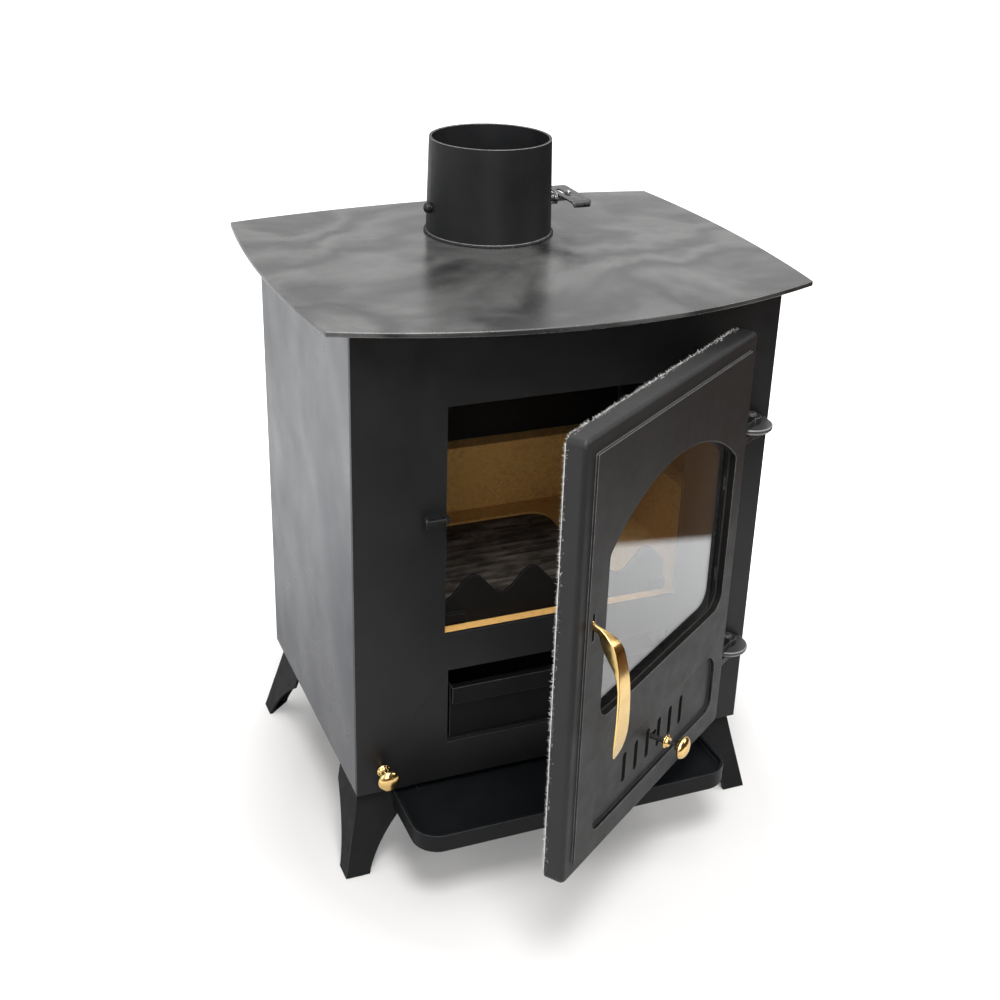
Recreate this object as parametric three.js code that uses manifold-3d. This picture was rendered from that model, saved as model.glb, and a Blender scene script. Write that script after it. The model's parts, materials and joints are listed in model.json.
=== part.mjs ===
// A box-bodied wood stove on four splayed legs: a sheet steel body with a cast door,
// an arched window, a flue collar with a damper, an ash pan and a hearth tray.
// Sizes are millimetres. +X is to the right seen from the front, +Y to the back, +Z up.
// The pieces are placed from the middle of the front panel's outer face, at floor level.

import * as THREE from 'three';
import { mergeVertices } from 'three/addons/utils/BufferGeometryUtils.js';
import Module from 'manifold-3d';

const wasm = await Module();
wasm.setup();

// ---------------------------------------------------------------- clearances
const SEAM = 0.3; // between two pieces that touch
const RUNNING = 0.5; // round a pin, rod or spindle that turns or slides
const SWING = 1; // between a moving piece and what it passes
const PAST = 1; // how far a cut runs past the face that it opens

// ---------------------------------------------------------------- facets
const FLUE_ROUND = 40;
const KNOB_ROUND = 20;
const ROD_ROUND = 16;
const SMALL_ROUND = 12;
const TOP_PLATE_CURVE = 20; // segments in one curve of an outline
const WINDOW_CURVE = 10;
const CORNER_CURVE = 4;
const SMALL_CURVE = 3;
const DOME_STEPS = 4;

// ---------------------------------------------------------------- body
const BODY_WIDTH = 500;
const BODY_DEPTH = 372;
const BODY_HEIGHT = 570;
const SHEET = 4;
const FRONT_THICKNESS = 5;
const BASE_THICKNESS = 4;

// ---------------------------------------------------------------- top plate
const TOP_THICKNESS = 6;
const TOP_SIDE_OVERHANG = 29;
const TOP_FRONT_OVERHANG = 14.7;
const TOP_REAR_OVERHANG = 24.8;
const TOP_FRONT_BOW = 59;
const TOP_REAR_BOW = 30;
const TOP_SIDE_BOW = 13;

// ---------------------------------------------------------------- flue collar and damper
const FLUE_X = 7;
const FLUE_Y = 275;
const COLLAR_HEIGHT = 112.4;
const COLLAR_BASE_RADIUS = 75.5;
const COLLAR_TOP_RADIUS = 72.3;
const COLLAR_WALL = 3;
const COLLAR_BEAD = 2.5;
const SPINDLE_RISE = 33.5; // spindle axis above the top plate
const SPINDLE_RADIUS = 4;
const DAMPER_RADIUS = 67;
const DAMPER_THICKNESS = 3;
const DAMPER_BOSS_RADIUS = 7;
const CAP_RADIUS = 6.3;
const CAP_LENGTH = 7.5;
const CAP_WALL = 2.5;
const CAP_SKIRT = 3.4; // straight part before the dome
const SPRING_RADIUS = 6.6; // to the middle of the wire
const SPRING_WIRE = 1.8;
const SPRING_PITCH = 2.4;
const SPRING_TURNS = 3;
const SPRING_STEPS_PER_TURN = 8;
const SPRING_END_STEPS = 4;
const SPRING_SAMPLES = 48; // of one turn, to measure its gap
const SPRING_SIDES = 5;
const SHOULDER_THICKNESS = 1.2;
const WING_FRONT_REACH = 47.5; // from the spindle's axis
const WING_REAR_REACH = 39.5;
const WING_WIDTH = 27;
const WING_THICKNESS = 2;
const WING_CURL = 7;
const WING_FRONT_CORNER = 9;
const WING_REAR_CORNER = 13;
const WING_SLOT_LENGTH = 34;
const WING_SLOT_WIDTH = 4;
const WING_SLOT_INSET = 9;
const RIVET_INSET = 16;
const RIVET_RADIUS = 2.2;
const RIVET_HEAD_RADIUS = 3.6;
const RIVET_HEAD_HEIGHT = 1.6;
const RIVET_CROWN_RADIUS = 2.5;

// ---------------------------------------------------------------- legs
const LEG_HEIGHT = 106;
const LEG_WALL = 4.5;
const LEG_TOP_INSET_X = 5; // ridge inside the body's side at the top
const LEG_TOP_INSET_FRONT = 11.5;
const LEG_TOP_INSET_REAR = 24;
const LEG_SPLAY_X = 24;
const LEG_SPLAY_FRONT = 24.5;
const LEG_SPLAY_REAR = 31;
const LEG_FRONT_WING_TOP = 64;
const LEG_FRONT_WING_FOOT = 30;
const LEG_SIDE_WING_TOP = 72;
const LEG_SIDE_WING_FOOT = 27;
const LEG_TOE_HEIGHT = 7;
const LEG_ARCH_HEIGHT = 80;
const LEG_PULL_HEIGHT = 0.525; // place of the curve's pull, as shares of the arch
const LEG_PULL_WIDTH = 0.15;
const LEG_SOLE = 4;
const LEG_FLANGE = 4;

// ---------------------------------------------------------------- hearth tray
const TRAY_WIDTH = 397;
const TRAY_OFFSET_X = -8.5;
const TRAY_REACH = 101; // in front of the body
const TRAY_REAR_GAP = 3;
const TRAY_CORNER = 30;
const TRAY_WALL = 3;
const TRAY_SKIRT = 22;
const TRAY_LIP = 8; // rim above the tray's floor
const TRAY_TUCK = 40; // floor under the body
const TRAY_TUCK_INSET = 32; // from the tray's sides, clear of the front legs
const TONGUE_WIDTH = 140;
const TONGUE_LENGTH = 250;
const TONGUE_FLANGE = 26;

// ---------------------------------------------------------------- front openings
const ASH_OPENING_WIDTH = 279;
const ASH_OPENING_HEIGHT = 98.5;
const FIRE_OPENING_WIDTH = 288;
const FIRE_OPENING_HEIGHT = 277;
const FIRE_SILL = 197; // above the body's underside

// ---------------------------------------------------------------- ash compartment
const ASH_FLOOR_RISE = 48;
const ASH_FLOOR_THICKNESS = 3;
const ASH_SILL_DROP = 0.5; // below the ash floor, so that the pan slides over the sill
const PAN_WIDTH = 268;
const PAN_LENGTH = 322;
const PAN_HEIGHT = 71.5;
const PAN_WALL = 2;
const PAN_INSET = 8;
const PAN_LIP_HEIGHT = 22;
const PAN_LIP_WIDTH = 267;
const RUNNER_WIDTH = 8;
const RUNNER_HEIGHT = 14;
const RUNNER_END_INSET = 20;

// ---------------------------------------------------------------- lining and grate
const SHELF_RISE = 146;
const SHELF_THICKNESS = 4;
const LINING_TOP_RISE = 263;
const BRICK_THICKNESS = 25;
const BED_THICKNESS = 15.7;
const FRONT_BRICK_DEPTH = 29.7;
const REAR_BRICK_DEPTH = 26.7;
const REAR_LOWER_DEPTH = 17.7;
const REAR_LOWER_HEIGHT = 56.7;
const GRATE_WIDTH = 210;
const GRATE_OFFSET_X = 9.5;
const GRATE_FRONT = 50;
const GRATE_REAR_MARGIN = 36; // from the grate to the rear brick
const GRATE_CORNER = 25;
const GRATE_THICKNESS = 13.7;
const GRATE_BAR_DEPTH = 11;
const GRATE_RIM = 12;
const GRATE_SLOT_WIDTH = 8;
const GRATE_SLOT_PITCH = 16;
const GRATE_SEAT = 9;
const GRATE_SLOT_END = 18; // from the grate's edge to a slot's end
const GRATE_OUTER_SLOT_END = 24;

// ---------------------------------------------------------------- log guard and baffle
const GUARD_WIDTH = 276;
const GUARD_THICKNESS = 4;
const GUARD_SETBACK = 19; // from the front panel's outer face
const GUARD_GROOVE = 10;
const GUARD_MEAN_RISE = 45.5;
const GUARD_WAVE_HEIGHT = 14.5;
const GUARD_WAVE_LENGTH = 72;
const GUARD_WAVE_STEPS = 8;
const GUARD_WAVE_SHIFT = 5; // to the right of the middle
const GUARD_LUG_LENGTH = 24;
const GUARD_LUG_HEIGHT = 11;
const GUARD_LUG_RISE = 5;
const GUARD_LUG_DEPTH = 5;
const BAFFLE_DROP = 80; // top face below the body's top
const BAFFLE_THICKNESS = 6;
const BAFFLE_LENGTH = 246;
const BAFFLE_WIDTH = 450;
const LEDGE_WIDTH = 25;
const LEDGE_HEIGHT = 20;
const LEDGE_THICKNESS = 3;

// ---------------------------------------------------------------- primary air control
const AIR_X = -220;
const AIR_RISE = 35;
const AIR_ROD_RADIUS = 2.5;
const AIR_TRAVEL = 30;
const AIR_SLOT_LENGTH = 80;
const AIR_SLOT_START_X = -198;
const AIR_SLOT_START_Y = 120;
const AIR_SLOT_COUNT = 3;
const AIR_SLOT_BRIDGE = 4; // overlap of the closed shutter over each slot
const SHUTTER_THICKNESS = 2;
const SHUTTER_MARGIN = 14;
const SHUTTER_TAB_Y = 62;
const SHUTTER_TAB_HALF = 13;
const SHUTTER_TAB_THICKNESS = 3;
const SHUTTER_TAB_OVER_ROD = 8;

// ---------------------------------------------------------------- knobs
const KNOB_RADIUS = 13;
const KNOB_DEPTH = 14;
const KNOB_NECK_RADIUS = 6;
const KNOB_NECK_LENGTH = 2.5;
const KNOB_WAIST_RADIUS = 5.7;
const KNOB_FLARE_RADIUS = 10.4;
const KNOB_FLARE_AT = 4.6; // from the back of the knob
const KNOB_RIM_AT = 7.7;
const KNOB_BORE_DEPTH = 9;
const ROSETTE_RADIUS = 8;
const ROSETTE_DEPTH = 5.5;
const ROSETTE_RIM = 2.2;
const ROSETTE_CROWN_RADIUS = 5.8;
const ROSETTE_NECK_RADIUS = 4.5;
const AIR_ROSETTE_NECK = 7; // carries the primary air rosette off the front panel
const KNOB_GAP = 9; // from the rosette to the knob

// ---------------------------------------------------------------- hinges
const HINGE_STANDOFF = 12; // axis in front of the body
const HINGE_TAB_RADIUS = 25;
const HINGE_TAB_THICKNESS = 8;
const HINGE_TAB_TAPER = 3; // of the underside's edge
const HINGE_UPPER_RISE = 405.5; // underside of the tab above the body's underside
const HINGE_LOWER_RISE = 112.5;
const HINGE_PIN_RADIUS = 4;
const HINGE_PIN_HEAD_RADIUS = 6.5;
const HINGE_PIN_HEAD_HEIGHT = 3;
const HINGE_PIN_CROWN_RADIUS = 4.9;
const HINGE_PIN_TAIL = 2;
const EAR_RADIUS = 11;
const EAR_THICKNESS = 8.6;
const EAR_ARM_HALF = 8.5;

// ---------------------------------------------------------------- door
const DOOR_OPEN_DEGREES = 35.25;
const DOOR_HEIGHT = 504;
const DOOR_THICKNESS = 25.7;
const DOOR_RISE = 34; // above the body's underside
const DOOR_TO_AXIS = 38;
const DOOR_BEYOND_OPENING = 48; // closed, from the fire opening to the free edge
const DOOR_GAP = 3; // closed, from the body to the rim
const DOOR_CORNER = 9;
const DOOR_FILLET = 5.7;
const DOOR_FILLET_STEPS = 6;
const DOOR_PLATE = 8;
const DOOR_RIM = 18;
const FIELD_INSET = 18; // raised face inside the rim
const FIELD_RAISE = 3;
const FIELD_CORNER = 2;
const ROPE_INSET = 4;
const ROPE_WIDTH = 9.4;
const ROPE_SEAT_DEPTH = 8;

// ---------------------------------------------------------------- window
const WINDOW_LEFT = 54;
const WINDOW_WIDTH = 286;
const WINDOW_SILL = 177;
const WINDOW_HEIGHT = 246.5;
const WINDOW_CORNER = 20;
const WINDOW_ARCH_RADIUS = 210;
const WINDOW_SHOULDER = 12; // between the upright sides and the arch
const GLASS_MARGIN = 8;
const GLASS_THICKNESS = 4;
const GASKET_THICKNESS = 1.6;
const GASKET_WIDTH = 7;
const CLIP_WIDTH = 6; // beside the glass
const CLIP_TO_RIM = 2;
const CLIP_LENGTH = 16;
const CLIP_THICKNESS = 2;
const CLIP_OVERLAP = 5;
const CLIP_RISES = [30, 145];

// ---------------------------------------------------------------- air wash slots in the door
const RECESS_LEFT = 54;
const RECESS_WIDTH = 287;
const RECESS_BOTTOM = 36;
const RECESS_HEIGHT = 82;
const RECESS_DEPTH = 4.5;
const RECESS_LOWER_CORNER = 12;
const RECESS_UPPER_CORNER = 30;
const SLOT_COUNT = 6;
const SLOT_PITCH = 27;
const SLOT_FIRST = 127.5;
const SLOT_WIDTH = 8.2;
const SLOT_HEIGHT = 38;
const SLOT_BOTTOM = 56.5;
const SLIDER_THICKNESS = 2;
const SLIDER_MARGIN = 14;
const SLIDER_EDGE = 7;
const SLIDER_TRAVEL = 8.6;
const STEM_FROM_SLOT = 9.4; // first stem position, from the middle of the third slot
const STEM_SLOT_INDEX = 2;
const STEM_RISE = 80;
const STEM_RADIUS = 3;
const STEM_REACH = 12.2;
const STEM_ROD_RADIUS = 2;
const GUIDE_WIDTH = 7;
const GUIDE_LIP = 3;
const GUIDE_COVER = 2.4;

// ---------------------------------------------------------------- latch
const HANDLE_LEFT = 28.5; // from the door's free edge
const HANDLE_PIVOT_RISE = 305;
const HANDLE_PIVOT_BACK = 2.7; // behind the rear of the door's plate
const HANDLE_PIN_RADIUS = 2;
const HANDLE_BLADE = 3.6;
const HANDLE_SLOT_BOTTOM = 283.5;
const HANDLE_SLOT_TOP = 315;
const HANDLE_BOSS_RADIUS = 4.4;
const HANDLE_LUG_THICKNESS = 3.6;
const HANDLE_LUG_GAP = 0.4;
const HANDLE_LUG_HALF = 5.5;
const HANDLE_LUG_DEPTH = 4; // behind the pivot
const HOOK_REACH = 14.2;
const HOOK_RISE = 9.5;
const HOOK_TIP = 2.5;
const KEEPER_RADIUS = 2.5;
const KEEPER_RISE = 8; // above the handle's pivot
const KEEPER_HEAD_RADIUS = 7;
const KEEPER_HEAD = 3;
const KEEPER_PLATE = 4;
const KEEPER_PLATE_HALF = 3.6;
const KEEPER_BESIDE_OPENING = 1;
// The grip's two faces, from its neck to its tip: distance out of the door's face,
// height above the door's underside and width.
const GRIP_FRONT_FACE = [[-1, 304.6, 3.8], [7.7, 302, 3.8], [15, 298.6, 7.6], [21.3, 294.4, 12.8],
  [26.1, 290, 15.1], [29.8, 284.5, 17], [32.4, 277, 17.9], [34.6, 268, 18.6], [36.6, 257.5, 20.3],
  [38.3, 245, 21.5], [39, 230, 23.4], [39.2, 215, 25.2], [39, 200, 26], [38.4, 189, 25.8],
  [37.2, 179, 23.6], [35.6, 170, 18.5], [33.8, 163.5, 10], [32.6, 160, 3]];
const GRIP_BACK_FACE = [[-1, 297.5, 3.8], [5.2, 296, 3.8], [7.4, 293, 4], [8.4, 290.5, 5],
  [10.2, 286, 6.5], [13.6, 280, 8], [18.8, 273, 10], [26, 265, 13], [32.3, 256, 18],
  [35, 244.5, 21], [36.2, 230, 23], [36.6, 215, 24.8], [36.4, 200, 25.6], [35.9, 189, 25.4],
  [34.9, 179, 23.2], [33.5, 170, 18.1], [32, 163.5, 9.6], [31.2, 160, 2.6]];
const BLADE_TOP = 302.6; // where the blade leaves the grip
const BLADE_BOTTOM = 297;
const BLADE_START = 3; // out of the door's face

// ---------------------------------------------------------------- finishes
const FINISHES = {
  paint: { color: 0x26282a, roughness: 0.5, metalness: 0.35 },
  plate: { color: 0x5a6066, roughness: 0.42, metalness: 0.6 },
  cast: { color: 0x35373a, roughness: 0.6, metalness: 0.3 },
  grate: { color: 0x3d332c, roughness: 0.85, metalness: 0.2 },
  steel: { color: 0x9b9d9e, roughness: 0.35, metalness: 0.9 },
  inner: { color: 0x1d1c1b, roughness: 0.85, metalness: 0.2 },
  pan: { color: 0x4b4d4f, roughness: 0.55, metalness: 0.7 },
  brass: { color: 0xc08a3a, roughness: 0.18, metalness: 1 },
  brick: { color: 0xb07a3c, roughness: 0.95, metalness: 0 },
  rope: { color: 0xe9e4da, roughness: 1, metalness: 0 },
  gasket: { color: 0x2a2927, roughness: 1, metalness: 0 },
  glass: { color: 0xb8c2c8, roughness: 0.05, metalness: 0, transparent: true, opacity: 0.35 },
};

// ---------------------------------------------------------------- shape helpers
const AXIS_FRAMES = {
  x: [new THREE.Vector3(0, 1, 0), new THREE.Vector3(0, 0, 1), new THREE.Vector3(1, 0, 0)],
  y: [new THREE.Vector3(1, 0, 0), new THREE.Vector3(0, 0, 1), new THREE.Vector3(0, -1, 0)],
  z: [new THREE.Vector3(1, 0, 0), new THREE.Vector3(0, 1, 0), new THREE.Vector3(0, 0, 1)],
};

function signedVolume(positions, triangles) {
  const [a, b, c] = [new THREE.Vector3(), new THREE.Vector3(), new THREE.Vector3()];
  let volume = 0;
  for (let i = 0; i < triangles.length; i += 3) {
    a.fromArray(positions, 3 * triangles[i]);
    b.fromArray(positions, 3 * triangles[i + 1]);
    c.fromArray(positions, 3 * triangles[i + 2]);
    volume += a.dot(b.cross(c)) / 6;
  }
  return volume;
}

// A closed geometry as a solid that can be joined and cut.
function solid(geometry) {
  const bare = geometry.clone();
  bare.deleteAttribute('normal');
  bare.deleteAttribute('uv');
  const merged = mergeVertices(bare, 1e-4);
  const positions = new Float32Array(merged.attributes.position.array);
  const triangles = [];
  for (let i = 0; i < merged.index.count; i += 3) {
    const [a, b, c] = [0, 1, 2].map((corner) => merged.index.getX(i + corner));
    if (a !== b && b !== c && c !== a) triangles.push(a, b, c);
  }
  if (signedVolume(positions, triangles) < 0) triangles.reverse();
  const mesh = new wasm.Mesh({
    numProp: 3,
    vertProperties: positions,
    triVerts: new Uint32Array(triangles),
  });
  return new wasm.Manifold(mesh);
}

function block([x0, x1], [y0, y1], [z0, z1]) {
  const geometry = new THREE.BoxGeometry(x1 - x0, y1 - y0, z1 - z0);
  geometry.translate((x0 + x1) / 2, (y0 + y1) / 2, (z0 + z1) / 2);
  return solid(geometry);
}

// A shape drawn in the plane across an axis, as a prism between two places on that axis.
// The shape's two coordinates are (y, z) along x, (x, z) along y and (x, y) along z.
function prism(shape, axis, from, to, curveSegments = CORNER_CURVE) {
  const geometry = new THREE.ExtrudeGeometry(shape,
    { depth: to - from, bevelEnabled: false, curveSegments });
  geometry.applyMatrix4(new THREE.Matrix4().makeBasis(...AXIS_FRAMES[axis]));
  const shift = axis === 'y' ? to : from;
  const offset = { x: [shift, 0, 0], y: [0, shift, 0], z: [0, 0, shift] }[axis];
  geometry.translate(...offset);
  return solid(geometry);
}

// A turned piece: profile points are [radius, place along the axis], closed on itself or on the axis.
function turned(profile, axis, [x, y, z], segments = ROD_ROUND) {
  const points = profile.map(([radius, along]) => new THREE.Vector2(radius, along));
  const geometry = new THREE.LatheGeometry(points, segments);
  if (axis === 'x') geometry.rotateZ(-Math.PI / 2);
  if (axis === 'y') geometry.rotateX(Math.PI);
  if (axis === 'z') geometry.rotateX(Math.PI / 2);
  geometry.translate(x, y, z);
  return solid(geometry);
}

// A plain rod between two places on an axis; the y axis runs to the front.
function rod(radius, axis, at, from, to, segments = ROD_ROUND) {
  return turned([[0, from], [radius, from], [radius, to], [0, to]], axis, at, segments);
}

// A solid through rings of corners, each ring with as many corners and taken the same way round.
function loft(rings) {
  const sides = rings[0].length;
  const last = (rings.length - 1) * sides;
  const triangles = [];
  for (let i = 0; i < last; i += sides) {
    for (let side = 0; side < sides; side += 1) {
      const next = (side + 1) % sides;
      triangles.push(i + side, i + next, i + sides + next, i + side, i + sides + next, i + sides + side);
    }
  }
  for (let side = 2; side < sides; side += 1) {
    triangles.push(0, side, side - 1, last, last + side - 1, last + side);
  }
  const geometry = new THREE.BufferGeometry();
  geometry.setAttribute('position', new THREE.Float32BufferAttribute(rings.flat(2), 3));
  geometry.setIndex(triangles);
  return solid(geometry);
}

function roundedRectangle(x0, x1, y0, y1, lower, upper = lower) {
  const shape = new THREE.Shape();
  shape.moveTo(x0 + lower, y0);
  shape.lineTo(x1 - lower, y0);
  shape.absarc(x1 - lower, y0 + lower, lower, -Math.PI / 2, 0);
  shape.lineTo(x1, y1 - upper);
  shape.absarc(x1 - upper, y1 - upper, upper, 0, Math.PI / 2);
  shape.lineTo(x0 + upper, y1);
  shape.absarc(x0 + upper, y1 - upper, upper, Math.PI / 2, Math.PI);
  shape.lineTo(x0, y0 + lower);
  shape.absarc(x0 + lower, y0 + lower, lower, Math.PI, 1.5 * Math.PI);
  return shape;
}

function polygon(points) {
  return new THREE.Shape(points.map(([x, y]) => new THREE.Vector2(x, y)));
}

function addPiece(group, name, finish, body) {
  const { vertProperties, triVerts } = body.getMesh();
  const geometry = new THREE.BufferGeometry();
  geometry.setAttribute('position', new THREE.BufferAttribute(new Float32Array(vertProperties), 3));
  geometry.setIndex(new THREE.BufferAttribute(new Uint32Array(triVerts), 1));
  geometry.computeVertexNormals();
  const mesh = new THREE.Mesh(geometry, new THREE.MeshStandardMaterial(FINISHES[finish]));
  mesh.name = name;
  group.add(mesh);
  return mesh;
}

// ---------------------------------------------------------------- levels and planes
const bodyHalf = BODY_WIDTH / 2;
const innerHalf = bodyHalf - SHEET;
const innerReach = innerHalf - SEAM; // outermost place of what fits between the sides
const bodyBottom = LEG_HEIGHT;
const bodyTop = bodyBottom + BODY_HEIGHT;
const sideFront = FRONT_THICKNESS + SEAM;
const innerRear = BODY_DEPTH - SHEET - SEAM;
const baseTop = bodyBottom + BASE_THICKNESS;
const topPlateBottom = bodyTop + SEAM;
const topPlateTop = topPlateBottom + TOP_THICKNESS;
const ashFloorTop = bodyBottom + ASH_FLOOR_RISE + ASH_FLOOR_THICKNESS;
const ashOpeningBottom = ashFloorTop - ASH_SILL_DROP;
const ashOpeningTop = ashOpeningBottom + ASH_OPENING_HEIGHT;
const fireOpeningBottom = bodyBottom + FIRE_SILL;
const fireOpeningTop = fireOpeningBottom + FIRE_OPENING_HEIGHT;
const shelfTop = bodyBottom + SHELF_RISE + SHELF_THICKNESS;
const liningBottom = shelfTop + SEAM;
const liningTop = bodyBottom + LINING_TOP_RISE;
const frontBrickRear = sideFront + FRONT_BRICK_DEPTH;
const rearBrickFront = innerRear - REAR_BRICK_DEPTH;
const rearLowerFront = innerRear - REAR_LOWER_DEPTH;
const airRodZ = bodyBottom + AIR_RISE;

const stove = new THREE.Group();

// ---------------------------------------------------------------- body shell
function airSlots(shift, zRange) {
  const pitch = 2 * AIR_TRAVEL;
  const width = AIR_TRAVEL - AIR_SLOT_BRIDGE;
  const xRange = [AIR_SLOT_START_X, AIR_SLOT_START_X + AIR_SLOT_LENGTH];
  const cuts = [];
  for (let i = 0; i < AIR_SLOT_COUNT; i += 1) {
    const y = AIR_SLOT_START_Y + i * pitch + shift;
    cuts.push(block(xRange, [y - width / 2, y + width / 2], zRange));
  }
  return cuts;
}

function without(body, cuts) {
  return cuts.reduce((rest, cut) => rest.subtract(cut), body);
}

function frontPanel() {
  const yRange = [0, FRONT_THICKNESS];
  const cutRange = [-PAST, FRONT_THICKNESS + PAST];
  const fireHalf = FIRE_OPENING_WIDTH / 2;
  const ashHalf = ASH_OPENING_WIDTH / 2;
  const panel = block([-bodyHalf, bodyHalf], yRange, [bodyBottom, bodyTop]);
  return without(panel, [
    block([-fireHalf, fireHalf], cutRange, [fireOpeningBottom, fireOpeningTop]),
    block([-ashHalf, ashHalf], cutRange, [ashOpeningBottom, ashOpeningTop]),
    rod(AIR_ROD_RADIUS + RUNNING, 'y', [AIR_X, 0, airRodZ], -FRONT_THICKNESS - PAST, PAST),
  ]);
}

addPiece(stove, 'front_panel', 'paint', frontPanel());
for (const [name, side] of [['left_side_panel', -1], ['right_side_panel', 1]]) {
  const xRange = [side * innerHalf, side * bodyHalf].sort((a, b) => a - b);
  addPiece(stove, name, 'paint', block(xRange, [sideFront, BODY_DEPTH], [bodyBottom, bodyTop]));
}
addPiece(stove, 'back_panel', 'paint',
  block([-innerReach, innerReach], [BODY_DEPTH - SHEET, BODY_DEPTH], [bodyBottom, bodyTop]));
addPiece(stove, 'base_plate', 'paint', without(
  block([-innerReach, innerReach], [sideFront, innerRear], [bodyBottom, baseTop]),
  airSlots(0, [bodyBottom - PAST, baseTop + PAST]),
));

// ---------------------------------------------------------------- top plate
function topPlate() {
  const side = bodyHalf + TOP_SIDE_OVERHANG;
  const front = -TOP_FRONT_OVERHANG;
  const rear = BODY_DEPTH + TOP_REAR_OVERHANG;
  const middle = (front + rear) / 2;
  const outline = new THREE.Shape();
  outline.moveTo(-side, front);
  outline.quadraticCurveTo(0, front - 2 * TOP_FRONT_BOW, side, front);
  outline.quadraticCurveTo(side + 2 * TOP_SIDE_BOW, middle, side, rear);
  outline.quadraticCurveTo(0, rear + 2 * TOP_REAR_BOW, -side, rear);
  outline.quadraticCurveTo(-side - 2 * TOP_SIDE_BOW, middle, -side, front);
  const flue = new THREE.Path();
  flue.absarc(FLUE_X, FLUE_Y, COLLAR_BASE_RADIUS - COLLAR_WALL, 0, 2 * Math.PI);
  outline.holes.push(flue);
  return prism(outline, 'z', topPlateBottom, topPlateTop, TOP_PLATE_CURVE);
}

addPiece(stove, 'top_plate', 'plate', topPlate());

// ---------------------------------------------------------------- flue collar
const collarBottom = topPlateTop + SEAM;
const spindleZ = topPlateTop + SPINDLE_RISE;
const spindleAt = [FLUE_X, FLUE_Y, spindleZ];
const collarTaper = (COLLAR_BASE_RADIUS - COLLAR_TOP_RADIUS) / COLLAR_HEIGHT;
const collarReach = COLLAR_BASE_RADIUS - collarTaper * (spindleZ - collarBottom); // outer radius at the spindle

function flueCollar() {
  const profile = [
    [COLLAR_BASE_RADIUS - COLLAR_WALL, 0],
    [COLLAR_BASE_RADIUS + COLLAR_BEAD, 0],
    [COLLAR_BASE_RADIUS - collarTaper * COLLAR_BEAD, COLLAR_BEAD],
    [COLLAR_TOP_RADIUS, COLLAR_HEIGHT],
    [COLLAR_TOP_RADIUS - COLLAR_WALL, COLLAR_HEIGHT],
    [COLLAR_BASE_RADIUS - COLLAR_WALL, 0],
  ];
  const tube = turned(profile, 'z', [FLUE_X, FLUE_Y, collarBottom], FLUE_ROUND);
  const bore = rod(SPINDLE_RADIUS + RUNNING, 'x', spindleAt, -2 * COLLAR_BASE_RADIUS, 2 * COLLAR_BASE_RADIUS);
  return tube.subtract(bore);
}

addPiece(stove, 'flue_collar', 'paint', flueCollar());

// ---------------------------------------------------------------- damper
const springStart = collarReach + RUNNING;
const springLength = SPRING_TURNS * SPRING_PITCH + 2 * SPRING_WIRE;
const shoulderStart = springStart + springLength + SEAM;
const wingStart = shoulderStart + SHOULDER_THICKNESS + SEAM;
const wingBottom = spindleZ + SPINDLE_RADIUS + SEAM;
const rivetAlong = wingStart + RIVET_INSET;
const spindleEnd = rivetAlong + RIVET_HEAD_RADIUS;
const capStart = collarReach + RUNNING; // to the left of the axis
const capBoreDepth = CAP_LENGTH - CAP_WALL;

class SpringPath extends THREE.Curve {
  // A straight lead, the turns and a straight tail, all at one steady rate along the wire's own length.
  getPoint(t, target = new THREE.Vector3()) {
    const turnLength = Math.hypot(2 * Math.PI * SPRING_RADIUS, SPRING_PITCH);
    const wound = SPRING_TURNS * turnLength;
    const along = t * (wound + 2 * SPRING_WIRE) - SPRING_WIRE;
    const turns = THREE.MathUtils.clamp(along, 0, wound) / turnLength;
    const lead = Math.min(along, 0) + Math.max(along - wound, 0);
    const angle = 2 * Math.PI * turns;
    const x = SPRING_WIRE + turns * SPRING_PITCH + lead;
    return target.set(x, SPRING_RADIUS * Math.cos(angle), SPRING_RADIUS * Math.sin(angle));
  }
}

function leastSpringGap() {
  const points = new SpringPath().getPoints(SPRING_SAMPLES * (SPRING_TURNS + 1));
  let least = Infinity;
  for (let i = 0; i < points.length; i += 1) {
    for (let j = i + SPRING_SAMPLES / 2; j < points.length; j += 1) {
      least = Math.min(least, points[i].distanceTo(points[j]) - SPRING_WIRE);
    }
  }
  return least;
}

function damperSpring() {
  const section = new THREE.Shape();
  section.absarc(0, 0, SPRING_WIRE / 2, 0, 2 * Math.PI);
  const steps = SPRING_TURNS * SPRING_STEPS_PER_TURN + SPRING_END_STEPS;
  const geometry = new THREE.ExtrudeGeometry(
    polygon(section.getPoints(SPRING_SIDES).slice(0, SPRING_SIDES).map((p) => [p.x, p.y])),
    { steps, bevelEnabled: false, extrudePath: new SpringPath() },
  );
  geometry.translate(FLUE_X + springStart, FLUE_Y, spindleZ);
  return solid(geometry);
}

function damperDisc() {
  const half = DAMPER_THICKNESS / 2;
  const disc = rod(DAMPER_RADIUS, 'z', spindleAt, -half, half, FLUE_ROUND);
  const bossEnd = DAMPER_RADIUS - SWING;
  const boss = rod(DAMPER_BOSS_RADIUS, 'x', spindleAt, -bossEnd, bossEnd);
  const bore = rod(SPINDLE_RADIUS + SEAM, 'x', spindleAt, -2 * DAMPER_RADIUS, 2 * DAMPER_RADIUS);
  return disc.add(boss).subtract(bore);
}

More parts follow.
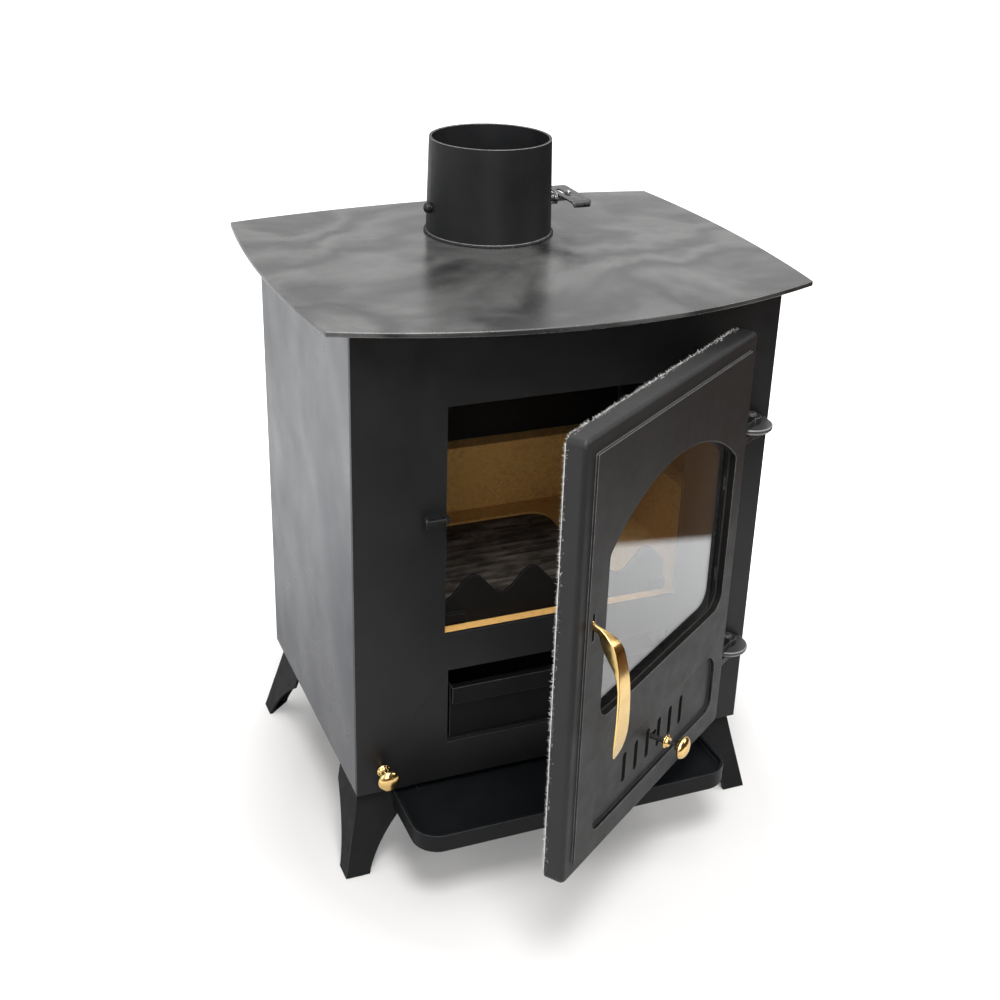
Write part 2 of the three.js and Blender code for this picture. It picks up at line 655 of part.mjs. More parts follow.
function damperSpindle() {
  const left = -(capStart + capBoreDepth - SEAM);
  const shaft = turned([
    [0, left], [SPINDLE_RADIUS, left],
    [SPINDLE_RADIUS, shoulderStart],
    [SPRING_RADIUS + SPRING_WIRE / 2, shoulderStart],
    [SPRING_RADIUS + SPRING_WIRE / 2, shoulderStart + SHOULDER_THICKNESS],
    [SPINDLE_RADIUS, shoulderStart + SHOULDER_THICKNESS],
    [SPINDLE_RADIUS, spindleEnd], [0, spindleEnd],
  ], 'x', spindleAt);
  const headBottom = wingBottom + WING_THICKNESS + SEAM - spindleZ;
  const rivet = turned([
    [0, 0], [RIVET_RADIUS, 0], [RIVET_RADIUS, headBottom],
    [RIVET_HEAD_RADIUS, headBottom], [RIVET_CROWN_RADIUS, headBottom + RIVET_HEAD_HEIGHT],
    [0, headBottom + RIVET_HEAD_HEIGHT],
  ], 'z', [FLUE_X + rivetAlong, FLUE_Y, spindleZ], SMALL_ROUND);
  return shaft.add(rivet);
}

function damperCap() {
  const boreRadius = SPINDLE_RADIUS + SEAM;
  const profile = [[boreRadius, 0], [CAP_RADIUS, 0]];
  for (let i = 0; i <= DOME_STEPS; i += 1) {
    const angle = (i / DOME_STEPS) * (Math.PI / 2);
    profile.push([CAP_RADIUS * Math.cos(angle), CAP_SKIRT + (CAP_LENGTH - CAP_SKIRT) * Math.sin(angle)]);
  }
  profile[profile.length - 1][0] = 0;
  profile.push([0, capBoreDepth], [boreRadius, capBoreDepth], [boreRadius, 0]);
  const outline = profile.map(([radius, along]) => [radius, -along]);
  return turned(outline, 'x', [FLUE_X - capStart, FLUE_Y, spindleZ]);
}

function damperWing() {
  const front = FLUE_Y - WING_FRONT_REACH;
  const rear = FLUE_Y + WING_REAR_REACH;
  const wingTop = wingBottom + WING_THICKNESS;
  const curlZ = wingTop - WING_CURL;
  const innerCurl = WING_CURL - WING_THICKNESS;
  const side = new THREE.Shape();
  side.moveTo(front + WING_CURL, wingTop);
  side.lineTo(rear - WING_CURL, wingTop);
  side.absarc(rear - WING_CURL, curlZ, WING_CURL, Math.PI / 2, 0, true);
  side.lineTo(rear - WING_THICKNESS, curlZ);
  side.absarc(rear - WING_CURL, curlZ, innerCurl, 0, Math.PI / 2);
  side.lineTo(front + WING_CURL, wingBottom);
  side.absarc(front + WING_CURL, curlZ, innerCurl, Math.PI / 2, Math.PI);
  side.lineTo(front, curlZ);
  side.absarc(front + WING_CURL, curlZ, WING_CURL, Math.PI, Math.PI / 2, true);
  const xStart = FLUE_X + wingStart;
  const xEnd = xStart + WING_WIDTH;
  const sheet = prism(side, 'x', xStart, xEnd);
  const plan = roundedRectangle(xStart, xEnd, front - PAST, rear + PAST, WING_FRONT_CORNER, WING_REAR_CORNER);
  const slotX = xStart + WING_SLOT_INSET;
  const slot = block([slotX - WING_SLOT_WIDTH / 2, slotX + WING_SLOT_WIDTH / 2],
    [FLUE_Y - WING_SLOT_LENGTH / 2, FLUE_Y + WING_SLOT_LENGTH / 2], [wingBottom - PAST, wingTop + PAST]);
  const hole = rod(RIVET_RADIUS + SEAM, 'z', [FLUE_X + rivetAlong, FLUE_Y, wingBottom],
    -PAST, WING_THICKNESS + PAST, SMALL_ROUND);
  const room = prism(plan, 'z', wingBottom - WING_CURL, wingTop + PAST);
  return sheet.intersect(room).subtract(slot).subtract(hole);
}

console.log(`least gap of the damper spring to itself: ${leastSpringGap().toFixed(2)} mm`);
addPiece(stove, 'damper_disc', 'cast', damperDisc());
addPiece(stove, 'damper_spindle', 'steel', damperSpindle());
addPiece(stove, 'damper_cap', 'paint', damperCap());
addPiece(stove, 'damper_spring', 'paint', damperSpring());
addPiece(stove, 'damper_wing', 'steel', damperWing());

// ---------------------------------------------------------------- legs
// One wing of a leg: its width across the ridge, from a concave arch to a small toe.
function legWing(topWidth, footWidth) {
  const outline = new THREE.Shape();
  outline.moveTo(0, 0);
  outline.lineTo(footWidth, 0);
  outline.lineTo(footWidth, LEG_TOE_HEIGHT);
  const pullZ = LEG_TOE_HEIGHT + LEG_PULL_HEIGHT * (LEG_ARCH_HEIGHT - LEG_TOE_HEIGHT);
  const pullX = footWidth + LEG_PULL_WIDTH * (topWidth - footWidth);
  outline.quadraticCurveTo(pullX, pullZ, topWidth, LEG_ARCH_HEIGHT);
  outline.lineTo(topWidth, LEG_HEIGHT - SEAM);
  outline.lineTo(0, LEG_HEIGHT - SEAM);
  return outline;
}

function leg(sideX, sideY) {
  const front = sideY < 0;
  const splayY = front ? LEG_SPLAY_FRONT : LEG_SPLAY_REAR;
  const ridgeX = sideX * (bodyHalf - LEG_TOP_INSET_X);
  const ridgeY = front ? LEG_TOP_INSET_FRONT : BODY_DEPTH - LEG_TOP_INSET_REAR;
  const faceWing = prism(legWing(LEG_FRONT_WING_TOP, LEG_FRONT_WING_FOOT), 'y', 0, LEG_WALL, WINDOW_CURVE);
  const sideWing = prism(legWing(LEG_SIDE_WING_TOP, LEG_SIDE_WING_FOOT), 'x', 0, LEG_WALL, WINDOW_CURVE);
  const sole = prism(polygon([[0, 0], [LEG_FRONT_WING_FOOT, 0], [LEG_FRONT_WING_FOOT, LEG_WALL],
    [LEG_WALL, LEG_SIDE_WING_FOOT], [0, LEG_SIDE_WING_FOOT]]), 'z', 0, LEG_SOLE);
  const flange = prism(polygon([[0, 0], [LEG_FRONT_WING_TOP, 0], [LEG_FRONT_WING_TOP, LEG_WALL],
    [LEG_WALL, LEG_SIDE_WING_TOP], [0, LEG_SIDE_WING_TOP]]), 'z',
  LEG_HEIGHT - SEAM - LEG_FLANGE, LEG_HEIGHT - SEAM);
  const upright = faceWing.add(sideWing).add(sole).add(flange);
  const { vertProperties, triVerts } = upright.getMesh();
  const geometry = new THREE.BufferGeometry();
  geometry.setAttribute('position', new THREE.BufferAttribute(new Float32Array(vertProperties), 3));
  geometry.setIndex(new THREE.BufferAttribute(new Uint32Array(triVerts), 1));
  const leanX = -LEG_SPLAY_X / LEG_HEIGHT; // inwards with height, before mirroring
  const leanY = -splayY / LEG_HEIGHT;
  const lean = new THREE.Matrix4().set(
    1, 0, -leanX, LEG_HEIGHT * leanX,
    0, 1, -leanY, LEG_HEIGHT * leanY,
    0, 0, 1, 0,
    0, 0, 0, 1,
  );
  geometry.applyMatrix4(lean);
  geometry.scale(-sideX, -sideY, 1);
  geometry.translate(ridgeX, ridgeY, 0);
  return solid(geometry);
}

addPiece(stove, 'leg_front_left', 'cast', leg(-1, -1));
addPiece(stove, 'leg_front_right', 'cast', leg(1, -1));
addPiece(stove, 'leg_rear_left', 'cast', leg(-1, 1));
addPiece(stove, 'leg_rear_right', 'cast', leg(1, 1));

// ---------------------------------------------------------------- hearth tray
function trayOutline(inset, rear) {
  const left = TRAY_OFFSET_X - TRAY_WIDTH / 2 + inset;
  const right = TRAY_OFFSET_X + TRAY_WIDTH / 2 - inset;
  const front = -TRAY_REACH + inset;
  const corner = TRAY_CORNER - inset;
  const outline = new THREE.Shape();
  outline.moveTo(left, rear);
  outline.lineTo(left, front + corner);
  outline.absarc(left + corner, front + corner, corner, Math.PI, 1.5 * Math.PI);
  outline.lineTo(right - corner, front);
  outline.absarc(right - corner, front + corner, corner, 1.5 * Math.PI, 2 * Math.PI);
  outline.lineTo(right, rear);
  return outline;
}

function hearthTray() {
  const top = bodyBottom - SEAM;
  const floorTop = top - TRAY_LIP;
  const floorBottom = floorTop - TRAY_WALL;
  const rear = -TRAY_REAR_GAP;
  const tongueHalf = TONGUE_WIDTH / 2;
  const skirt = prism(trayOutline(0, rear), 'z', top - TRAY_SKIRT, top);
  const hollow = prism(trayOutline(TRAY_WALL, rear + PAST), 'z', top - TRAY_SKIRT - PAST, top + PAST);
  const floor = prism(trayOutline(TRAY_WALL / 2, rear), 'z', floorBottom, floorTop);
  const tuckHalf = TRAY_WIDTH / 2 - TRAY_TUCK_INSET;
  const tuck = block([TRAY_OFFSET_X - tuckHalf, TRAY_OFFSET_X + tuckHalf], [rear - TRAY_WALL, TRAY_TUCK],
    [floorBottom, floorTop]);
  const across = [-tongueHalf, tongueHalf];
  const tongue = block(across, [TRAY_TUCK - TRAY_WALL, TONGUE_LENGTH], [floorBottom, floorTop]);
  const riserFront = TONGUE_LENGTH - TRAY_WALL;
  const riser = block(across, [riserFront, TONGUE_LENGTH], [floorBottom, top]);
  const flange = block(across, [riserFront, TONGUE_LENGTH + TONGUE_FLANGE], [top - TRAY_WALL, top]);
  return skirt.subtract(hollow).add(floor).add(tuck).add(tongue).add(riser).add(flange);
}

addPiece(stove, 'hearth_tray', 'paint', hearthTray());

// ---------------------------------------------------------------- ash compartment
const panHalf = PAN_WIDTH / 2;
const panBottom = ashFloorTop + SEAM;
const panTop = panBottom + PAN_HEIGHT;
const panFront = PAN_INSET;

function ashPan() {
  const shell = block([-panHalf, panHalf], [panFront, panFront + PAN_LENGTH], [panBottom, panTop]);
  const inside = block([-panHalf + PAN_WALL, panHalf - PAN_WALL],
    [panFront + PAN_WALL, panFront + PAN_LENGTH - PAN_WALL], [panBottom + PAN_WALL, panTop + PAST]);
  const lipHalf = PAN_LIP_WIDTH / 2;
  const lipBottom = panTop - PAN_LIP_HEIGHT;
  const lip = block([-lipHalf, lipHalf], [SEAM, panFront + PAN_WALL / 2], [lipBottom, panTop]);
  const fold = block([-lipHalf - PAST, lipHalf + PAST], [SEAM + PAN_WALL, panFront],
    [lipBottom - PAST, panTop - PAN_WALL]);
  return shell.subtract(inside).add(lip.subtract(fold));
}

addPiece(stove, 'ash_floor', 'inner', block([-innerReach, innerReach], [sideFront, innerRear],
  [ashFloorTop - ASH_FLOOR_THICKNESS, ashFloorTop]));
for (const [name, side] of [['ash_runner_left', -1], ['ash_runner_right', 1]]) {
  const near = panHalf + SWING;
  const xRange = [side * near, side * (near + RUNNER_WIDTH)].sort((a, b) => a - b);
  addPiece(stove, name, 'inner', block(xRange, [RUNNER_END_INSET, panFront + PAN_LENGTH],
    [ashFloorTop + SEAM, ashFloorTop + SEAM + RUNNER_HEIGHT]));
}
addPiece(stove, 'ash_pan', 'pan', ashPan());

// ---------------------------------------------------------------- grate and lining
const grateLeft = GRATE_OFFSET_X - GRATE_WIDTH / 2;
const grateRight = GRATE_OFFSET_X + GRATE_WIDTH / 2;
const grateRear = rearLowerFront - GRATE_REAR_MARGIN;
const brickInner = innerReach - BRICK_THICKNESS;

function grateOutline(inset) {
  return roundedRectangle(grateLeft + inset, grateRight - inset, GRATE_FRONT + inset, grateRear - inset,
    GRATE_CORNER - inset);
}

function grate() {
  const bottom = liningBottom;
  const top = bottom + GRATE_THICKNESS;
  const slotsRoom = grateRear - GRATE_FRONT - 2 * GRATE_RIM;
  const count = Math.floor((slotsRoom + GRATE_SLOT_PITCH - GRATE_SLOT_WIDTH) / GRATE_SLOT_PITCH);
  const middle = (GRATE_FRONT + grateRear) / 2;
  const outline = grateOutline(0);
  for (let i = 0; i < count; i += 1) {
    const y = middle + (i - (count - 1) / 2) * GRATE_SLOT_PITCH;
    const outermost = i === 0 || i === count - 1;
    const endInset = outermost ? GRATE_OUTER_SLOT_END : GRATE_SLOT_END;
    outline.holes.push(roundedRectangle(grateLeft + endInset, grateRight - endInset,
      y - GRATE_SLOT_WIDTH / 2, y + GRATE_SLOT_WIDTH / 2, GRATE_SLOT_WIDTH / 2 - SEAM));
  }
  const casting = prism(outline, 'z', bottom, top, SMALL_CURVE);
  const relief = block([grateLeft + GRATE_RIM, grateRight - GRATE_RIM],
    [GRATE_FRONT + GRATE_RIM, grateRear - GRATE_RIM], [bottom - PAST, top - GRATE_BAR_DEPTH]);
  return casting.subtract(relief);
}

function frontBrick() {
  const brick = block([-innerReach, innerReach], [sideFront, frontBrickRear],
    [liningBottom, fireOpeningBottom]);
  const grooveHalf = GUARD_WIDTH / 2 + SEAM;
  const groove = block([-grooveHalf, grooveHalf],
    [GUARD_SETBACK - SEAM, GUARD_SETBACK + GUARD_THICKNESS + SEAM],
    [fireOpeningBottom - GUARD_GROOVE - SEAM, fireOpeningBottom + PAST]);
  return brick.subtract(groove);
}

addPiece(stove, 'grate_shelf', 'inner',
  block([-innerReach, innerReach], [sideFront, innerRear], [shelfTop - SHELF_THICKNESS, shelfTop])
    .subtract(prism(grateOutline(GRATE_SEAT), 'z', shelfTop - SHELF_THICKNESS - PAST, shelfTop + PAST)));
addPiece(stove, 'grate', 'grate', grate());
addPiece(stove, 'lining_bed', 'brick',
  block([-brickInner + SEAM, brickInner - SEAM], [frontBrickRear + SEAM, rearLowerFront - SEAM],
    [liningBottom, liningBottom + BED_THICKNESS])
    .subtract(prism(grateOutline(-SWING), 'z', liningBottom - PAST, liningBottom + BED_THICKNESS + PAST)));
addPiece(stove, 'lining_front', 'brick', frontBrick());
for (const [name, side] of [['lining_left', -1], ['lining_right', 1]]) {
  const xRange = [side * brickInner, side * innerReach].sort((a, b) => a - b);
  addPiece(stove, name, 'brick',
    block(xRange, [frontBrickRear + SEAM, rearBrickFront - SEAM], [liningBottom, liningTop]));
}
const rearSplit = liningBottom + REAR_LOWER_HEIGHT;
addPiece(stove, 'lining_rear_lower', 'brick',
  block([-innerReach, innerReach], [rearLowerFront, innerRear], [liningBottom, rearSplit - SEAM]));
addPiece(stove, 'lining_rear_upper', 'brick',
  block([-innerReach, innerReach], [rearBrickFront, innerRear], [rearSplit, liningTop]));

// ---------------------------------------------------------------- log guard and baffle
function logGuard() {
  const half = GUARD_WIDTH / 2;
  const bottom = fireOpeningBottom - GUARD_GROOVE;
  const steps = Math.round((GUARD_WIDTH / GUARD_WAVE_LENGTH) * GUARD_WAVE_STEPS);
  const points = [[-half, bottom], [half, bottom]];
  for (let i = steps; i >= 0; i -= 1) {
    const x = -half + (GUARD_WIDTH * i) / steps;
    const wave = GUARD_WAVE_HEIGHT * Math.cos((2 * Math.PI * (x - GUARD_WAVE_SHIFT)) / GUARD_WAVE_LENGTH);
    points.push([x, fireOpeningBottom + GUARD_MEAN_RISE - wave]);
  }
  const guard = prism(polygon(points), 'y', GUARD_SETBACK, GUARD_SETBACK + GUARD_THICKNESS);
  const lugBottom = fireOpeningBottom + GUARD_LUG_RISE;
  const lugs = [-1, 1].map((side) => {
    const xRange = [side * half, side * (half - GUARD_LUG_LENGTH)].sort((a, b) => a - b);
    const yRange = [GUARD_SETBACK - GUARD_LUG_DEPTH, GUARD_SETBACK + GUARD_THICKNESS / 2];
    return block(xRange, yRange, [lugBottom, lugBottom + GUARD_LUG_HEIGHT]);
  });
  return guard.add(lugs[0]).add(lugs[1]);
}

const baffleTop = bodyTop - BAFFLE_DROP;
const baffleBottom = baffleTop - BAFFLE_THICKNESS;
addPiece(stove, 'log_guard', 'inner', logGuard());
addPiece(stove, 'baffle_plate', 'inner', block([-BAFFLE_WIDTH / 2, BAFFLE_WIDTH / 2],
  [innerRear - BAFFLE_LENGTH, innerRear], [baffleBottom, baffleTop]));
for (const [name, side] of [['baffle_ledge_left', -1], ['baffle_ledge_right', 1]]) {
  const top = baffleBottom - SEAM;
  const yRange = [innerRear - BAFFLE_LENGTH, innerRear];
  const flat = [side * (innerReach - LEDGE_WIDTH), side * innerReach].sort((a, b) => a - b);
  const upright = [side * (innerReach - LEDGE_THICKNESS), side * innerReach].sort((a, b) => a - b);
  addPiece(stove, name, 'inner', block(flat, yRange, [top - LEDGE_THICKNESS, top])
    .add(block(upright, yRange, [top - LEDGE_HEIGHT, top])));
}

// ---------------------------------------------------------------- knobs and rosettes
// Both are turned about the y axis; distances run to the front.
function knob(at, boreRadius) {
  const profile = [
    [boreRadius, 0], [KNOB_NECK_RADIUS, 0], [KNOB_WAIST_RADIUS, KNOB_NECK_LENGTH],
    [KNOB_FLARE_RADIUS, KNOB_FLARE_AT], [KNOB_RADIUS, KNOB_RIM_AT],
  ];
  for (let i = 1; i <= DOME_STEPS; i += 1) {
    const angle = (i / DOME_STEPS) * (Math.PI / 2);
    profile.push([KNOB_RADIUS * Math.cos(angle), KNOB_RIM_AT + (KNOB_DEPTH - KNOB_RIM_AT) * Math.sin(angle)]);
  }
  profile[profile.length - 1][0] = 0;
  profile.push([0, KNOB_BORE_DEPTH], [boreRadius, KNOB_BORE_DEPTH], [boreRadius, 0]);
  return turned(profile, 'y', at, KNOB_ROUND);
}

function rosette(at, boreRadius, neck) {
  return turned([
    [boreRadius, 0], [ROSETTE_NECK_RADIUS, 0], [ROSETTE_NECK_RADIUS, neck],
    [ROSETTE_RADIUS, neck], [ROSETTE_RADIUS, neck + ROSETTE_RIM],
    [ROSETTE_CROWN_RADIUS, neck + ROSETTE_DEPTH], [boreRadius, neck + ROSETTE_DEPTH], [boreRadius, 0],
  ], 'y', at, KNOB_ROUND);
}

// ---------------------------------------------------------------- primary air control
function airShutter() {
  const bottom = baseTop + SEAM;
  const top = bottom + SHUTTER_THICKNESS;
  const left = AIR_X - SHUTTER_TAB_HALF;
  const right = AIR_SLOT_START_X + AIR_SLOT_LENGTH + SHUTTER_MARGIN;
  const lastSlot = AIR_SLOT_START_Y + (AIR_SLOT_COUNT - 1) * 2 * AIR_TRAVEL;
  const rear = lastSlot + 2 * AIR_TRAVEL;
  const plate = block([left, right], [SHUTTER_TAB_Y, rear], [bottom, top]);
  const tab = block([left, AIR_X + SHUTTER_TAB_HALF], [SHUTTER_TAB_Y, SHUTTER_TAB_Y + SHUTTER_TAB_THICKNESS],
    [bottom, airRodZ + SHUTTER_TAB_OVER_ROD]);
  const bore = rod(AIR_ROD_RADIUS + SEAM, 'y', [AIR_X, SHUTTER_TAB_Y, airRodZ],
    -2 * SHUTTER_TAB_THICKNESS, PAST);
  return without(plate.add(tab).subtract(bore), airSlots(AIR_TRAVEL, [bottom - PAST, top + PAST]));
}

const airRosetteFront = SEAM + AIR_ROSETTE_NECK + ROSETTE_DEPTH;
const airKnobStart = airRosetteFront + KNOB_GAP;
const airRodRear = -(SHUTTER_TAB_Y + SHUTTER_TAB_THICKNESS + SWING);
addPiece(stove, 'primary_air_rosette', 'brass',
  rosette([AIR_X, -SEAM, airRodZ], AIR_ROD_RADIUS + RUNNING, AIR_ROSETTE_NECK));
addPiece(stove, 'primary_air_knob', 'brass', knob([AIR_X, -airKnobStart, airRodZ], AIR_ROD_RADIUS + SEAM));
addPiece(stove, 'primary_air_rod', 'steel', rod(AIR_ROD_RADIUS, 'y', [AIR_X, 0, airRodZ], airRodRear,
  airKnobStart + KNOB_BORE_DEPTH - SEAM, SMALL_ROUND));
addPiece(stove, 'primary_air_shutter', 'inner', airShutter());

// ---------------------------------------------------------------- door frame of reference
// The door group's origin is its hinge axis. Places on the door are given from its free edge,
// from its underside and out of its front face.
const windowToHinge = GLASS_MARGIN + CLIP_WIDTH + CLIP_TO_RIM + DOOR_RIM;
const doorWidth = WINDOW_LEFT + WINDOW_WIDTH + windowToHinge;
const hingeX = doorWidth + DOOR_TO_AXIS - FIRE_OPENING_WIDTH / 2 - DOOR_BEYOND_OPENING;
const doorBottom = bodyBottom + DOOR_RISE;
const doorRear = HINGE_STANDOFF - DOOR_GAP;
const doorFront = doorRear - DOOR_THICKNESS;
const rimFront = doorFront + FIELD_RAISE;
const plateRear = doorFront + DOOR_PLATE;

function doorX(fromFreeEdge) {
  return fromFreeEdge - doorWidth - DOOR_TO_AXIS;
}

function doorZ(fromUnderside) {
  return doorBottom + fromUnderside;
}

function doorOutline(inset, corner) {
  return roundedRectangle(doorX(inset), doorX(doorWidth - inset),
    doorZ(inset), doorZ(DOOR_HEIGHT - inset), corner);
}

const door = new THREE.Group();
door.position.set(hingeX, -HINGE_STANDOFF, 0);
door.rotation.z = THREE.MathUtils.degToRad(DOOR_OPEN_DEGREES);
stove.add(door);

// ---------------------------------------------------------------- hinges
const hingeLevels = [['upper', bodyBottom + HINGE_UPPER_RISE], ['lower', bodyBottom + HINGE_LOWER_RISE]];
const earDrop = SEAM + EAR_THICKNESS;

function hingeTab(tabBottom, tabTop) {
  const back = 2 * HINGE_TAB_TAPER;
  const outline = new THREE.Shape();
  outline.moveTo(hingeX - HINGE_TAB_RADIUS, back);
  outline.lineTo(hingeX - HINGE_TAB_RADIUS, -HINGE_STANDOFF);
  outline.absarc(hingeX, -HINGE_STANDOFF, HINGE_TAB_RADIUS, Math.PI, 2 * Math.PI);
  outline.lineTo(hingeX + HINGE_TAB_RADIUS, back);
  const blank = new THREE.ExtrudeGeometry(outline, {
    depth: HINGE_TAB_THICKNESS,
    bevelThickness: HINGE_TAB_TAPER,
    bevelSize: HINGE_TAB_TAPER,
    bevelOffset: -HINGE_TAB_TAPER,
    bevelSegments: 1,
    curveSegments: WINDOW_CURVE,
  });
  blank.translate(0, 0, tabBottom + HINGE_TAB_TAPER);
  const room = block([hingeX - HINGE_TAB_RADIUS - PAST, hingeX + HINGE_TAB_RADIUS + PAST],
    [-HINGE_STANDOFF - HINGE_TAB_RADIUS - PAST, -SEAM], [tabBottom - PAST, tabTop]);
  const bore = rod(HINGE_PIN_RADIUS + SEAM, 'z', [hingeX, -HINGE_STANDOFF, 0], tabBottom - PAST, tabTop + PAST);
  return solid(blank).intersect(room).subtract(bore);
}

for (const [level, tabBottom] of hingeLevels) {
  const tabTop = tabBottom + HINGE_TAB_THICKNESS;
  addPiece(stove, `hinge_tab_${level}`, 'cast', hingeTab(tabBottom, tabTop));
  const tail = tabBottom - earDrop - HINGE_PIN_TAIL;
  const head = tabTop + earDrop + SEAM;
  addPiece(stove, `hinge_pin_${level}`, 'cast', turned([
    [0, tail], [HINGE_PIN_RADIUS, tail], [HINGE_PIN_RADIUS, head], [HINGE_PIN_HEAD_RADIUS, head],
    [HINGE_PIN_CROWN_RADIUS, head + HINGE_PIN_HEAD_HEIGHT], [0, head + HINGE_PIN_HEAD_HEIGHT],
  ], 'z', [hingeX, -HINGE_STANDOFF, 0]));
}

function hingeEar(bottom) {
  const top = bottom + EAR_THICKNESS;
  const knuckle = rod(EAR_RADIUS, 'z', [0, 0, 0], bottom, top, KNOB_ROUND);
  const arm = block([-DOOR_TO_AXIS - ROPE_INSET / 2, 0], [doorRear - 2 * EAR_ARM_HALF, doorRear],
    [bottom, top]);
  const bore = rod(HINGE_PIN_RADIUS + RUNNING, 'z', [0, 0, 0], bottom - PAST, top + PAST, KNOB_ROUND);
  return knuckle.add(arm).subtract(bore);
}

// ---------------------------------------------------------------- window outline
function windowOutline(margin) {
  const half = WINDOW_WIDTH / 2 + margin;
  const middle = doorX(WINDOW_LEFT + WINDOW_WIDTH / 2);
  const sill = doorZ(WINDOW_SILL) - margin;
  const corner = WINDOW_CORNER + margin;
  const radius = WINDOW_ARCH_RADIUS + margin;
  const centre = doorZ(WINDOW_SILL + WINDOW_HEIGHT - WINDOW_ARCH_RADIUS);
  const shoulder = WINDOW_SHOULDER + margin;
  const spring = Math.acos((half - shoulder) / (radius - shoulder));
  const shoulderZ = centre + (radius - shoulder) * Math.sin(spring);
  const outline = new THREE.Shape();
  outline.moveTo(middle - half + corner, sill);
  outline.lineTo(middle + half - corner, sill);
  outline.absarc(middle + half - corner, sill + corner, corner, -Math.PI / 2, 0);
  outline.absarc(middle + half - shoulder, shoulderZ, shoulder, 0, spring);
  outline.absarc(middle, centre, radius, spring, Math.PI - spring);
  outline.absarc(middle - half + shoulder, shoulderZ, shoulder, Math.PI - spring, Math.PI);
  outline.absarc(middle - half + corner, sill + corner, corner, Math.PI, 1.5 * Math.PI);
  return outline;
}

// ---------------------------------------------------------------- air slots in the door
const stemX = SLOT_FIRST + STEM_SLOT_INDEX * SLOT_PITCH + STEM_FROM_SLOT;
const stemSlotHalf = STEM_RADIUS + RUNNING;

function doorSlots(front, rear) {
  const slots = [];
  for (let i = 0; i < SLOT_COUNT; i += 1) {
    const x = doorX(SLOT_FIRST + i * SLOT_PITCH);
    const outline = roundedRectangle(x - SLOT_WIDTH / 2, x + SLOT_WIDTH / 2, doorZ(SLOT_BOTTOM),
      doorZ(SLOT_BOTTOM + SLOT_HEIGHT), SLOT_WIDTH / 2 - SEAM);
    slots.push(prism(outline, 'y', front, rear, SMALL_CURVE));
  }
  return slots;
}

const sliderFront = plateRear + SEAM;
const sliderRear = sliderFront + SLIDER_THICKNESS;
const sliderBottom = doorZ(SLOT_BOTTOM - SLIDER_EDGE);
const sliderTop = doorZ(SLOT_BOTTOM + SLOT_HEIGHT + SLIDER_EDGE);
const sliderLeft = doorX(SLOT_FIRST - SLIDER_MARGIN);
const sliderRight = doorX(SLOT_FIRST + (SLOT_COUNT - 1) * SLOT_PITCH + SLIDER_MARGIN);

// ---------------------------------------------------------------- latch places
const pivotY = plateRear + HANDLE_PIVOT_BACK;
const pivotZ = doorZ(HANDLE_PIVOT_RISE);
const handleX = doorX(HANDLE_LEFT);

function handleLugs() {
  const inner = HANDLE_BLADE / 2 + HANDLE_LUG_GAP;
  const pair = [-1, 1].map((side) => {
    const outer = inner + HANDLE_LUG_THICKNESS;
    const xRange = [handleX + side * inner, handleX + side * outer].sort((a, b) => a - b);
    return block(xRange, [plateRear - PAST, pivotY + HANDLE_LUG_DEPTH],
      [pivotZ - HANDLE_LUG_HALF, pivotZ + HANDLE_LUG_HALF]);
  });
  return pair[0].add(pair[1]);
}

